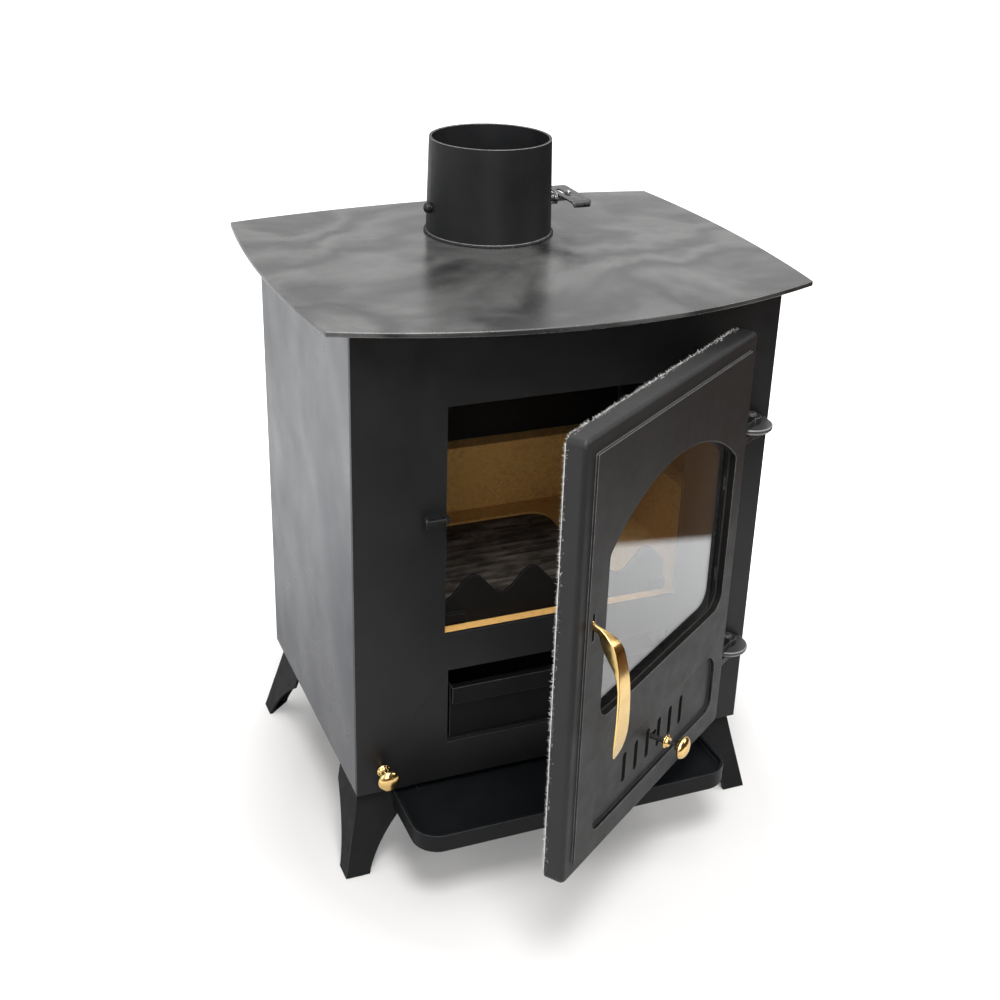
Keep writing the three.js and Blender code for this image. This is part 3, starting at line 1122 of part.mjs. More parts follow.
// ---------------------------------------------------------------- door casting
function doorCasting() {
  const blank = new THREE.ExtrudeGeometry(doorOutline(0, DOOR_CORNER), {
    depth: DOOR_THICKNESS,
    bevelThickness: DOOR_FILLET,
    bevelSize: DOOR_FILLET,
    bevelOffset: -DOOR_FILLET,
    bevelSegments: DOOR_FILLET_STEPS,
    curveSegments: CORNER_CURVE,
  });
  blank.applyMatrix4(new THREE.Matrix4().makeBasis(...AXIS_FRAMES.y));
  blank.translate(0, rimFront + DOOR_FILLET + DOOR_THICKNESS, 0);
  const beyond = 2 * DOOR_THICKNESS;
  const wide = [doorX(-beyond), doorX(doorWidth + beyond)];
  const tall = [doorZ(-beyond), doorZ(DOOR_HEIGHT + beyond)];
  const slab = solid(blank).subtract(block(wide, [doorRear, doorRear + beyond], tall));
  const field = prism(doorOutline(FIELD_INSET, FIELD_CORNER), 'y', doorFront, plateRear);

  const cavity = prism(doorOutline(DOOR_RIM, SEAM), 'y', plateRear, doorRear + PAST, 1);
  const ropeRoom = SEAM;
  const ropeOuter = doorOutline(ROPE_INSET, DOOR_CORNER - ROPE_INSET);
  const ropeInner = doorOutline(ROPE_INSET + ROPE_WIDTH + 2 * ropeRoom, SEAM);
  const ropeSeat = prism(ropeOuter, 'y', doorRear - ROPE_SEAT_DEPTH, doorRear + PAST, SMALL_CURVE)
    .subtract(prism(ropeInner, 'y', doorRear - ROPE_SEAT_DEPTH - PAST, doorRear + 2 * PAST, 1));
  const recess = roundedRectangle(doorX(RECESS_LEFT), doorX(RECESS_LEFT + RECESS_WIDTH), doorZ(RECESS_BOTTOM),
    doorZ(RECESS_BOTTOM + RECESS_HEIGHT), RECESS_LOWER_CORNER, RECESS_UPPER_CORNER);
  const stemSlot = roundedRectangle(doorX(stemX - stemSlotHalf), doorX(stemX + SLIDER_TRAVEL + stemSlotHalf),
    doorZ(STEM_RISE - stemSlotHalf), doorZ(STEM_RISE + stemSlotHalf), stemSlotHalf - SEAM);
  const handleSlotHalf = HANDLE_BLADE / 2 + HANDLE_LUG_GAP;
  const handleSlot = block([handleX - handleSlotHalf, handleX + handleSlotHalf],
    [doorFront - PAST, plateRear + PAST], [doorZ(HANDLE_SLOT_BOTTOM), doorZ(HANDLE_SLOT_TOP)]);
  const casting = without(slab.add(field), [
    cavity,
    ropeSeat,
    prism(recess, 'y', doorFront - PAST, doorFront + RECESS_DEPTH),
    prism(stemSlot, 'y', doorFront, plateRear + PAST, SMALL_CURVE),
    prism(windowOutline(0), 'y', doorFront - PAST, plateRear + PAST, WINDOW_CURVE),
    handleSlot,
    ...doorSlots(doorFront, plateRear + PAST),
  ]);
  const pinBore = rod(HANDLE_PIN_RADIUS + SEAM, 'x', [handleX, pivotY, pivotZ],
    -DOOR_RIM, DOOR_RIM, SMALL_ROUND);
  let whole = casting.add(handleLugs().subtract(pinBore));
  for (const [, tabBottom] of hingeLevels) {
    whole = whole.add(hingeEar(tabBottom + HINGE_TAB_THICKNESS + SEAM)).add(hingeEar(tabBottom - earDrop));
  }
  return whole;
}

addPiece(door, 'door_casting', 'cast', doorCasting());

// ---------------------------------------------------------------- rope seal
function ropeSeal() {
  const start = ROPE_INSET + SEAM;
  const rear = HINGE_STANDOFF - SEAM; // just clear of the body when the door is shut
  const front = doorRear - ROPE_SEAT_DEPTH + SEAM;
  const outer = prism(doorOutline(start, DOOR_CORNER - start), 'y', front, rear, SMALL_CURVE);
  return outer.subtract(prism(doorOutline(start + ROPE_WIDTH, SEAM), 'y', front - PAST, rear + PAST, 1));
}

addPiece(door, 'door_rope_seal', 'rope', ropeSeal());

// ---------------------------------------------------------------- glass, gasket and clips
const gasketFront = plateRear + SEAM;
const glassFront = gasketFront + GASKET_THICKNESS + SEAM;
const glassRear = glassFront + GLASS_THICKNESS;

addPiece(door, 'glass_gasket', 'gasket',
  prism(windowOutline(GLASS_MARGIN), 'y', gasketFront, gasketFront + GASKET_THICKNESS, WINDOW_CURVE)
    .subtract(prism(windowOutline(GLASS_MARGIN - GASKET_WIDTH), 'y', gasketFront - PAST, glassFront,
      WINDOW_CURVE)));
addPiece(door, 'door_glass', 'glass',
  prism(windowOutline(GLASS_MARGIN), 'y', glassFront, glassRear, WINDOW_CURVE));

function glassClip(side, rise) {
  const edge = side < 0 ? doorX(WINDOW_LEFT - GLASS_MARGIN) : doorX(WINDOW_LEFT + WINDOW_WIDTH + GLASS_MARGIN);
  const zRange = [doorZ(WINDOW_SILL + rise), doorZ(WINDOW_SILL + rise + CLIP_LENGTH)];
  const outer = edge + side * CLIP_WIDTH;
  const foot = [edge + side * SWING, outer].sort((a, b) => a - b);
  const reach = [edge - side * CLIP_OVERLAP, outer].sort((a, b) => a - b);
  const lipFront = glassRear + SEAM;
  return block(foot, [plateRear + SEAM, lipFront + CLIP_THICKNESS], zRange)
    .add(block(reach, [lipFront, lipFront + CLIP_THICKNESS], zRange));
}

for (const [sideName, side] of [['left', -1], ['right', 1]]) {
  for (const [index, levelName] of [[0, 'lower'], [1, 'upper']]) {
    addPiece(door, `glass_clip_${sideName}_${levelName}`, 'steel', glassClip(side, CLIP_RISES[index]));
  }
}

// ---------------------------------------------------------------- door air slider
function sliderGuide(edge, outward) {
  const near = edge + outward * SWING;
  const far = near + outward * GUIDE_WIDTH;
  const lip = edge - outward * GUIDE_LIP;
  const coverFront = sliderRear + SEAM;
  const xRange = [sliderLeft, sliderRight];
  return block(xRange, [plateRear + SEAM, coverFront + GUIDE_COVER], [near, far].sort((a, b) => a - b))
    .add(block(xRange, [coverFront, coverFront + GUIDE_COVER], [lip, far].sort((a, b) => a - b)));
}

const stemTip = STEM_REACH + SEAM + ROSETTE_DEPTH; // out of the door's face, where the rosette ends
const stemAt = [doorX(stemX), doorFront, doorZ(STEM_RISE)];
const sliderKnobStart = stemTip + KNOB_GAP;

addPiece(door, 'air_guide_lower', 'steel', sliderGuide(sliderBottom, -1));
addPiece(door, 'air_guide_upper', 'steel', sliderGuide(sliderTop, 1));
addPiece(door, 'air_slider', 'inner', without(
  block([sliderLeft, sliderRight], [sliderFront, sliderRear], [sliderBottom, sliderTop]),
  doorSlots(sliderFront - PAST, sliderRear + PAST),
));
addPiece(door, 'air_slider_stem', 'paint', turned([
  [0, -DOOR_PLATE], [STEM_RADIUS, -DOOR_PLATE], [STEM_RADIUS, STEM_REACH], [STEM_ROD_RADIUS, STEM_REACH],
  [STEM_ROD_RADIUS, sliderKnobStart + KNOB_BORE_DEPTH - SEAM], [0, sliderKnobStart + KNOB_BORE_DEPTH - SEAM],
], 'y', stemAt, SMALL_ROUND));
addPiece(door, 'air_slider_rosette', 'brass',
  rosette([stemAt[0], doorFront - STEM_REACH - SEAM, stemAt[2]], STEM_ROD_RADIUS + SEAM, 0));
addPiece(door, 'air_slider_knob', 'brass',
  knob([stemAt[0], doorFront - sliderKnobStart, stemAt[2]], STEM_ROD_RADIUS + SEAM));

// ---------------------------------------------------------------- door handle and latch
function doorHandle() {
  const grip = loft(GRIP_FRONT_FACE.map(([frontOut, frontRise, frontWidth], i) => {
    const [backOut, backRise, backWidth] = GRIP_BACK_FACE[i];
    const frontPair = [-frontWidth / 2, frontWidth / 2]
      .map((x) => [handleX + x, doorFront - frontOut, doorZ(frontRise)]);
    const backPair = [backWidth / 2, -backWidth / 2]
      .map((x) => [handleX + x, doorFront - backOut, doorZ(backRise)]);
    return [...frontPair, ...backPair];
  }));

  const bladeX = [handleX - HANDLE_BLADE / 2, handleX + HANDLE_BLADE / 2];
  const keeperClear = pivotZ + KEEPER_RISE - KEEPER_RADIUS - SWING;
  const hookRear = pivotY + HOOK_REACH;
  const blade = prism(polygon([
    [doorFront - BLADE_START, doorZ(BLADE_TOP)],
    [doorFront - BLADE_START, doorZ(BLADE_BOTTOM)],
    [pivotY, pivotZ - HANDLE_BOSS_RADIUS],
    [hookRear, pivotZ - HANDLE_BOSS_RADIUS + SWING],
    [hookRear, pivotZ + HOOK_RISE],
    [hookRear - HOOK_TIP, pivotZ + HOOK_RISE],
    [hookRear - HOOK_TIP, keeperClear],
    [pivotY, keeperClear],
  ]), 'x', bladeX[0], bladeX[1]);
  const bore = rod(HANDLE_PIN_RADIUS + SEAM, 'x', [handleX, pivotY, pivotZ],
    -HANDLE_BLADE, HANDLE_BLADE, SMALL_ROUND);
  return grip.add(blade).subtract(bore);
}

const lugOuter = HANDLE_BLADE / 2 + HANDLE_LUG_GAP + HANDLE_LUG_THICKNESS;
addPiece(door, 'door_handle', 'brass', doorHandle());
addPiece(door, 'door_handle_pin', 'steel',
  rod(HANDLE_PIN_RADIUS, 'x', [handleX, pivotY, pivotZ], -lugOuter, lugOuter, SMALL_ROUND));

// ---------------------------------------------------------------- latch keeper
// A headed rod welded to a small plate beside the fire opening; the handle's hook closes behind it.
function latchKeeper() {
  const y = pivotY + HANDLE_PIVOT_BACK + 2 * KEEPER_RADIUS + SEAM - HINGE_STANDOFF;
  const z = pivotZ + KEEPER_RISE;
  const plateRight = -FIRE_OPENING_WIDTH / 2 - KEEPER_BESIDE_OPENING;
  const plateLeft = plateRight - KEEPER_PLATE;
  const plateMiddle = (plateLeft + plateRight) / 2;
  const headStart = hingeX + doorX(DOOR_RIM) + SWING;
  const bar = turned([
    [0, headStart], [KEEPER_HEAD_RADIUS, headStart], [KEEPER_HEAD_RADIUS, headStart + KEEPER_HEAD],
    [KEEPER_RADIUS, headStart + KEEPER_HEAD], [KEEPER_RADIUS, plateMiddle], [0, plateMiddle],
  ], 'x', [0, y, z]);
  const plate = block([plateLeft, plateRight], [y - KEEPER_PLATE_HALF, -SEAM],
    [z - KEEPER_PLATE_HALF, z + KEEPER_PLATE_HALF]);
  return bar.add(plate);
}

addPiece(stove, 'latch_keeper', 'paint', latchKeeper());

// ---------------------------------------------------------------- origin
// The finished stove's origin is the bottom centre of everything it takes up, open door included.
const everything = new THREE.Box3().setFromObject(stove, true);
const middle = everything.getCenter(new THREE.Vector3());
stove.position.set(-middle.x, -middle.y, -everything.min.z);

export default stove;
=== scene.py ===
import json
import math

import bmesh
import bpy
from bpy.props import FloatProperty, FloatVectorProperty, IntProperty, PointerProperty
from mathutils import Matrix, Vector


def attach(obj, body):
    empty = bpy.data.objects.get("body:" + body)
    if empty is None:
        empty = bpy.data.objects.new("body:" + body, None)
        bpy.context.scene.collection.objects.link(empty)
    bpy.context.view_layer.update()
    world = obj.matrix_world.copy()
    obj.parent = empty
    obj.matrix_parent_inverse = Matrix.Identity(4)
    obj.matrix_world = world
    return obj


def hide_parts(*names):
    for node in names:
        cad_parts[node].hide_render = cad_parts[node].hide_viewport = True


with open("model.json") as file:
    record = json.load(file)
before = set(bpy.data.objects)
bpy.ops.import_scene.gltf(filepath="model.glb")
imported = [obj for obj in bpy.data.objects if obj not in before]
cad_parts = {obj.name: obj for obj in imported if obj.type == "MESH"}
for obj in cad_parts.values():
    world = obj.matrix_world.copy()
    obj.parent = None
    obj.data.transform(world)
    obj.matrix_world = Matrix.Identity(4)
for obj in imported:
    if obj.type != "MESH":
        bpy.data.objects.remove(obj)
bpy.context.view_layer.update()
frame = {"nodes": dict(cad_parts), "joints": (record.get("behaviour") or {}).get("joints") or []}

bl_info = {
    "name": "Box-bodied wood stove",
    "version": (1, 0, 0),
    "blender": (4, 5, 0),
    "location": "3D View > Sidebar > Stove",
    "description": "Dresses a steel wood stove with a cast door, brass handles and a flue damper",
    "category": "Add Mesh",
}

JOINTS = {joint["name"]: joint for joint in frame["joints"]}
MERGE = 1e-5  # vertices closer than this are one
EVEN_BEND = 0.3  # degrees below which two faces lie in one plane
HARD_BEND = 28.0  # degrees above which an edge is hard
SAME_PLANE = 0.9998  # cosine between normals that count as one
FINE_EDGE = 0.0003  # metres of rounding on thin rods, wire and tape
CLIP_EDGE = 0.0004
GLASS_EDGE = 0.0006
CASTING_EDGE = 0.0007
HINGE_EDGE = 0.0016
EAR_EDGE = 0.0001

# The door's own frame: its origin is the hinge axis at floor level, +X runs from the free edge
# to the hinge and -Y out of the door's face.
HINGE_AT = Vector(JOINTS["door_hinge"]["pos_m"])
DOOR_X = -Vector(JOINTS["door_handle_lift"]["axis"])
DOOR_TURN = math.atan2(DOOR_X.y, DOOR_X.x)
DOOR_FRAME = Matrix.Translation((HINGE_AT.x, HINGE_AT.y, 0)) @ Matrix.Rotation(DOOR_TURN, 4, "Z")
DOOR_INVERSE = DOOR_FRAME.inverted()
BODY_FRAME = Matrix.Identity(4)


def node_box(node, inverse=BODY_FRAME):
    """Lowest and highest corner of a CAD node, measured in another frame."""
    points = [inverse @ v.co for v in frame["nodes"][node].data.vertices]
    low = Vector([min(p[axis] for p in points) for axis in range(3)])
    high = Vector([max(p[axis] for p in points) for axis in range(3)])
    return low, high


# ------------------------------------------------------------------ settings
class StoveSizes(bpy.types.PropertyGroup):
    """Sizes of the fine work that finishes the stove's pieces."""

    sheet_edge: FloatProperty(
        name="Sheet edge", description="Rounding of cut sheet edges", default=0.0006, unit="LENGTH")
    plate_edge: FloatProperty(
        name="Plate edge", description="Rounding of the top plate's rim", default=0.0014, unit="LENGTH")
    cast_edge: FloatProperty(
        name="Cast edge", description="Rounding of cast edges", default=0.0009, unit="LENGTH")
    brick_edge: FloatProperty(
        name="Brick edge", description="Rounding of the lining's edges", default=0.0012, unit="LENGTH")
    rope_diameter: FloatProperty(
        name="Rope diameter", description="Round fibre rope in the door's channel",
        default=0.0096, unit="LENGTH")
    fibre_length: FloatProperty(
        name="Fibre length", description="Loose fibres that stand out of the rope",
        default=0.0042, unit="LENGTH")
    fibre_density: FloatProperty(
        name="Fibre density", description="Loose fibres on a square metre of rope", default=240000.0)
    weld_bead: FloatProperty(
        name="Weld bead", description="Radius of the bead round the collar's base",
        default=0.0013, unit="LENGTH")
    handle_edge: FloatProperty(
        name="Handle edge", description="Rounding of the brass handle's ridges",
        default=0.0008, unit="LENGTH")
    round_segments: IntProperty(
        name="Round segments", description="Facets round a turned piece", default=72, min=12)


class StoveFinishes(bpy.types.PropertyGroup):
    """Base colours of the stove's finishes."""

    paint: FloatVectorProperty(
        name="Paint", description="Black stove paint", subtype="COLOR", default=(0.0068, 0.007, 0.0076))
    # lighter and bluer than the black paint of the front: a painted cool sheen
    side_paint: FloatVectorProperty(
        name="Side paint", description="Black paint of the side panels", subtype="COLOR",
        default=(0.011, 0.015, 0.024))
    top_paint: FloatVectorProperty(
        name="Top paint", description="Rubbed black paint of the top plate", subtype="COLOR",
        default=(0.013, 0.0128, 0.0126))
    cast: FloatVectorProperty(
        name="Cast iron", description="Painted cast iron of the door", subtype="COLOR",
        default=(0.0115, 0.0115, 0.0118))
    # colour of sooty steel, also used as painted shade on the door's slot and window walls
    soot_and_shade_colour: FloatVectorProperty(
        name="Soot", description="Sooty steel and painted shade inside", subtype="COLOR", default=(0.003, 0.0028, 0.0026))
    brick: FloatVectorProperty(
        name="Lining", description="Amber granular lining boards", subtype="COLOR", default=(0.62, 0.35, 0.1))
    brass: FloatVectorProperty(
        name="Brass", description="Polished brass", subtype="COLOR", default=(0.84, 0.6, 0.25))
    steel: FloatVectorProperty(
        name="Steel", description="Bare bright steel", subtype="COLOR", default=(0.46, 0.46, 0.47))
    grate: FloatVectorProperty(
        name="Grate", description="Dusty cast iron of the grate", subtype="COLOR",
        default=(0.03, 0.026, 0.021))
    rope: FloatVectorProperty(
        name="Rope", description="White fibre rope", subtype="COLOR", default=(0.93, 0.92, 0.89))


class StoveSettings(bpy.types.PropertyGroup):
    """Everything that a user of this stove would change."""

    sizes: PointerProperty(type=StoveSizes)
    finishes: PointerProperty(type=StoveFinishes)


def sizes():
    """The scene's own sizes."""
    return bpy.context.scene.stove.sizes


def finishes():
    """The scene's own base colours."""
    return bpy.context.scene.stove.finishes


# ------------------------------------------------------------------ shader groups
def add_node(tree, kind, inputs=None, **settings):
    node = tree.nodes.new(kind)
    for name, value in settings.items():
        setattr(node, name, value)
    for name, value in (inputs or {}).items():
        node.inputs[name].default_value = value
    return node


def math_node(tree, operation, first, second):
    """A Math node on two values, each a number or a socket."""
    node = add_node(tree, "ShaderNodeMath", operation=operation)
    for index, value in enumerate((first, second)):
        if isinstance(value, (int, float)):
            node.inputs[index].default_value = value
        else:
            tree.links.new(value, node.inputs[index])
    return node.outputs[0]


def new_group(name, inputs, outputs):
    """An empty shader group: inputs are (name, default), outputs are names."""
    tree = bpy.data.node_groups.new(name, "ShaderNodeTree")
    for label, default in inputs:
        socket = tree.interface.new_socket(label, in_out="INPUT", socket_type="NodeSocketFloat")
        socket.default_value = default
    for label in outputs:
        tree.interface.new_socket(label, in_out="OUTPUT", socket_type="NodeSocketFloat")
    return tree, add_node(tree, "NodeGroupInput"), add_node(tree, "NodeGroupOutput")


def object_place(tree, stretch=(1, 1, 1)):
    """Object coordinates, stretched along the axes."""
    coordinates = add_node(tree, "ShaderNodeTexCoord")
    mapping = add_node(tree, "ShaderNodeMapping")
    mapping.inputs["Scale"].default_value = stretch
    tree.links.new(coordinates.outputs["Object"], mapping.inputs["Vector"])
    return mapping.outputs["Vector"]


def mottle_group():
    """Cloudy variation: a value between Low and High, in patches of 1/Scale metres."""
    tree, given, result = new_group(
        "Mottle", [("Scale", 20.0), ("Detail", 4.0), ("Low", 0.0), ("High", 1.0)], ["Value", "Mask"])
    noise = add_node(tree, "ShaderNodeTexNoise", {"Roughness": 0.6})
    spread = add_node(tree, "ShaderNodeMapRange", {"From Min": 0.3, "From Max": 0.7})
    spread.clamp = True
    tree.links.new(object_place(tree), noise.inputs["Vector"])
    tree.links.new(given.outputs["Scale"], noise.inputs["Scale"])
    tree.links.new(given.outputs["Detail"], noise.inputs["Detail"])
    tree.links.new(noise.outputs["Fac"], spread.inputs["Value"])
    tree.links.new(spread.outputs["Result"], result.inputs["Mask"])
    span = math_node(tree, "SUBTRACT", given.outputs["High"], given.outputs["Low"])
    scaled = math_node(tree, "MULTIPLY", span, spread.outputs["Result"])
    tree.links.new(math_node(tree, "ADD", scaled, given.outputs["Low"]), result.inputs["Value"])
    return tree


def grain_group():
    """Fine grain of paint or casting, as a height, with the larger ripple of the sheet under it."""
    tree, given, result = new_group(
        "Grain", [("Scale", 900.0), ("Fine", 1.0), ("Ripple Scale", 25.0), ("Ripple", 0.5)], ["Height"])
    fine = add_node(tree, "ShaderNodeTexNoise", {"Detail": 2.0, "Roughness": 0.5})
    ripple = add_node(tree, "ShaderNodeTexNoise", {"Detail": 2.0, "Roughness": 0.45})
    place = object_place(tree)
    for node, scale in ((fine, "Scale"), (ripple, "Ripple Scale")):
        tree.links.new(place, node.inputs["Vector"])
        tree.links.new(given.outputs[scale], node.inputs["Scale"])
    small = math_node(tree, "MULTIPLY", fine.outputs["Fac"], given.outputs["Fine"])
    wide = math_node(tree, "MULTIPLY", ripple.outputs["Fac"], given.outputs["Ripple"])
    tree.links.new(math_node(tree, "ADD", small, wide), result.inputs["Height"])
    return tree


def wear_group():
    """Worn edges and a painted highlight along them: the piece's own edge attribute, broken up by noise."""
    tree, given, result = new_group("Edge Wear And Highlight", [("Amount", 0.5), ("Scale", 120.0)], ["Mask"])
    edge = add_node(tree, "ShaderNodeAttribute", attribute_name="edge")
    noise = add_node(tree, "ShaderNodeTexNoise", {"Detail": 3.0})
    tree.links.new(object_place(tree), noise.inputs["Vector"])
    tree.links.new(given.outputs["Scale"], noise.inputs["Scale"])
    broken = math_node(tree, "MULTIPLY", edge.outputs["Fac"], noise.outputs["Fac"])
    tree.links.new(math_node(tree, "MULTIPLY", broken, given.outputs["Amount"]), result.inputs["Mask"])
    return tree


def scuff_group():
    """Swirled rub marks of a wiped plate, broken up by a fine haze."""
    tree, given, result = new_group("Scuffs", [("Scale", 9.0), ("Amount", 0.5)], ["Mask"])
    bend = add_node(tree, "ShaderNodeTexNoise", {"Scale": 3.0, "Detail": 1.0})
    place = object_place(tree)
    tree.links.new(place, bend.inputs["Vector"])
    warp = add_node(tree, "ShaderNodeMixRGB", {"Fac": 0.22})
    tree.links.new(place, warp.inputs[1])
    tree.links.new(bend.outputs["Color"], warp.inputs[2])
    swirl = add_node(tree, "ShaderNodeTexWave", {"Distortion": 9.0, "Detail": 3.0, "Detail Scale": 1.4},
                     wave_type="RINGS")
    tree.links.new(warp.outputs["Color"], swirl.inputs["Vector"])
    tree.links.new(given.outputs["Scale"], swirl.inputs["Scale"])
    haze = add_node(tree, "ShaderNodeTexNoise", {"Scale": 26.0, "Detail": 6.0, "Roughness": 0.65})
    tree.links.new(warp.outputs["Color"], haze.inputs["Vector"])
    both = math_node(tree, "MULTIPLY", swirl.outputs["Fac"], haze.outputs["Fac"])
    tree.links.new(math_node(tree, "MULTIPLY", both, given.outputs["Amount"]), result.inputs["Mask"])
    return tree


GROUP_MAKERS = {
    "Mottle": mottle_group, "Grain": grain_group, "Edge Wear And Highlight": wear_group, "Scuffs": scuff_group,
}


def use_group(tree, name, **values):
    """Places a shared group in a material, with its own values."""
    shared = bpy.data.node_groups.get(name) or GROUP_MAKERS[name]()
    node = add_node(tree, "ShaderNodeGroup", node_tree=shared)
    for label, value in values.items():
        node.inputs[label.replace("_", " ")].default_value = value
    return node


# ------------------------------------------------------------------ materials
WORN_AND_HIGHLIT_EDGE = (0.22, 0.22, 0.22, 1.0)  # where paint is worn off, and a painted highlight along edges
# the top plate's lighter rim: rubbed paint and a painted highlight
WORN_AND_HIGHLIT_TOP_EDGE = (0.3, 0.31, 0.32, 1.0)
ASH_DUST = (0.19, 0.16, 0.135, 1.0)
TRAY_BLACK = (0.003, 0.0034, 0.0041)
# darker than the stove's paint: painted shade under the ash pan's lip on its front
PAN_SHADED_BLACK = (0.0028, 0.003, 0.0035)
HINGE_IRON = (0.024, 0.024, 0.0235)
DARK_TAPE = (0.02, 0.019, 0.017)
GLASS_TINT = (0.9, 0.93, 0.95, 1.0)
TARNISH = (0.82, 0.76, 0.7)  # of each part of the brass's colour
FLAKE_LIGHT = (1.2, 1.3, 1.5)  # of each part of the lining's colour
GRAIN_DEPTH = 0.0003  # metres
BOARD_DEPTH = 0.0005


def new_material(name, **shader_values):
    """A material with one Principled shader, whose even values are set on its own sockets."""
    material = bpy.data.materials.get(name)
    if material:
        return material, None, None
    material = bpy.data.materials.new(name)
    material.use_nodes = True
    tree = material.node_tree
    shader = tree.nodes["Principled BSDF"]
    for label, value in shader_values.items():
        shader.inputs[label.replace("_", " ")].default_value = value
    return material, tree, shader


def tinted(colour, tint):
    """A colour with each of its parts multiplied by its own factor."""
    return (colour[0] * tint[0], colour[1] * tint[1], colour[2] * tint[2], 1.0)


def opaque(colour):
    return tinted(colour, (1, 1, 1))


def shade(colour, factor):
    return tinted(colour, (factor,) * 3)


def mix_colours(tree, mask, first, second):
    """Colours mixed by a mask; each is a colour or a socket."""
    mix = add_node(tree, "ShaderNodeMixRGB")
    tree.links.new(mask, mix.inputs["Fac"])
    for label, colour in ((1, first), (2, second)):
        if hasattr(colour, "links"):
            tree.links.new(colour, mix.inputs[label])
        else:
            mix.inputs[label].default_value = colour
    return mix.outputs["Color"]


def add_bump(tree, shader, height, strength, distance):
    bump = add_node(tree, "ShaderNodeBump", {"Strength": strength, "Distance": distance})
    tree.links.new(height, bump.inputs["Height"])
    tree.links.new(bump.outputs["Normal"], shader.inputs["Normal"])


def wire_coat(tree, shader, colour, gloss, grains, relief):
    """Feeds a shader its colour, its gloss and the relief of its grain."""
    tree.links.new(colour, shader.inputs["Base Color"])
    tree.links.new(gloss.outputs["Value"], shader.inputs["Roughness"])
    add_bump(tree, shader, grains.outputs["Height"], relief, GRAIN_DEPTH)


def painted(name, colour, lift, rough, grain=700.0, ripple=0.8, wear_and_highlight=0.35, specular=0.3,
            patch=14.0, sheen=38.0, fine=1.0, ripple_scale=22.0, relief=0.25):
    """Satin stove paint: cloudy colour and gloss, fine grain, and edges lighter, partly as worn paint and
    partly as a painted highlight.
    """
    material, tree, shader = new_material(name, Metallic=0.0, IOR=1.5, Specular_IOR_Level=specular)
    if tree is None:
        return material
    clouds = use_group(tree, "Mottle", Scale=patch, Detail=5.0)
    gloss = use_group(tree, "Mottle", Scale=sheen, Detail=4.0, Low=rough[0], High=rough[1])
    edges = use_group(tree, "Edge Wear And Highlight", Amount=wear_and_highlight, Scale=160.0)
    grains = use_group(tree, "Grain", Scale=grain, Fine=fine, Ripple_Scale=ripple_scale, Ripple=ripple)
    base = mix_colours(tree, clouds.outputs["Mask"], opaque(colour), shade(colour, lift))
    worn_and_lit = mix_colours(tree, edges.outputs["Mask"], base, WORN_AND_HIGHLIT_EDGE)
    wire_coat(tree, shader, worn_and_lit, gloss, grains, relief)
    return material


def black_paint():
    return painted("Black stove paint", finishes().paint, 1.35, (0.36, 0.48))


def collar_paint():
    # the high edge amount paints a bright highlight along the collar's rim
    return painted("Collar paint", finishes().paint, 1.6, (0.4, 0.55), wear_and_highlight=2.0, specular=0.2)


def side_paint():
    # a lighter, bluer copy of the black paint: painted cool sheen on the side panels
    return painted("Side panel paint", finishes().side_paint, 1.5, (0.22, 0.4), specular=0.5, patch=6.0,
                   sheen=4.0, fine=0.2, ripple=48.0, ripple_scale=5.0, relief=0.6)


def tray_paint():
    return painted("Hearth tray paint", TRAY_BLACK, 1.4, (0.4, 0.55), specular=0.18)


def cast_iron():
    return painted("Painted cast iron", finishes().cast, 1.3, (0.42, 0.54), grain=420.0, ripple=1.2,
                   wear_and_highlight=0.9, specular=0.26)


def highlit_worn_iron():
    # bright edges here are partly worn iron and partly a painted highlight on the hinge tabs' top edges
    return painted("Worn cast iron with painted highlight", HINGE_IRON, 1.5, (0.34, 0.46), grain=420.0, wear_and_highlight=1.6,
                   specular=0.45)


def soot_and_shade_steel():
    # dark sooty steel inside the stove; on the door's slot and window walls it is painted shade
    return painted("Sooty steel and painted shade", finishes().soot_and_shade_colour, 1.8, (0.6, 0.8), wear_and_highlight=0.1, specular=0.12)


def leg_iron():
    return painted("Leg paint", finishes().paint, 1.4, (0.55, 0.7), grain=420.0, specular=0.14)


def pan_steel():
    return painted("Dull pan steel", PAN_SHADED_BLACK, 1.5, (0.38, 0.55), wear_and_highlight=0.6, specular=0.14)


def top_paint():
    """Black top plate: rubbed swirls catch the light over a cloudy satin coat."""
    material, tree, shader = new_material("Rubbed top paint", Metallic=0.0, IOR=1.5)
    if tree is None:
        return material
    colour = finishes().top_paint
    clouds = use_group(tree, "Mottle", Scale=9.0, Detail=6.0)
    swirls = use_group(tree, "Scuffs", Scale=6.5, Amount=1.3)
    edges = use_group(tree, "Edge Wear And Highlight", Amount=0.3, Scale=60.0)
    gloss = use_group(tree, "Mottle", Scale=11.0, Detail=6.0, Low=0.2, High=0.33)
    grains = use_group(tree, "Grain", Scale=800.0, Fine=0.5, Ripple_Scale=12.0, Ripple=1.6)
    base = mix_colours(tree, clouds.outputs["Mask"], opaque(colour), shade(colour, 1.5))
    rubbed = mix_colours(tree, swirls.outputs["Mask"], base, shade(colour, 7.0))
    worn_and_lit = mix_colours(tree, edges.outputs["Mask"], rubbed, WORN_AND_HIGHLIT_TOP_EDGE)
    wire_coat(tree, shader, worn_and_lit, gloss, grains, 0.15)
    return material


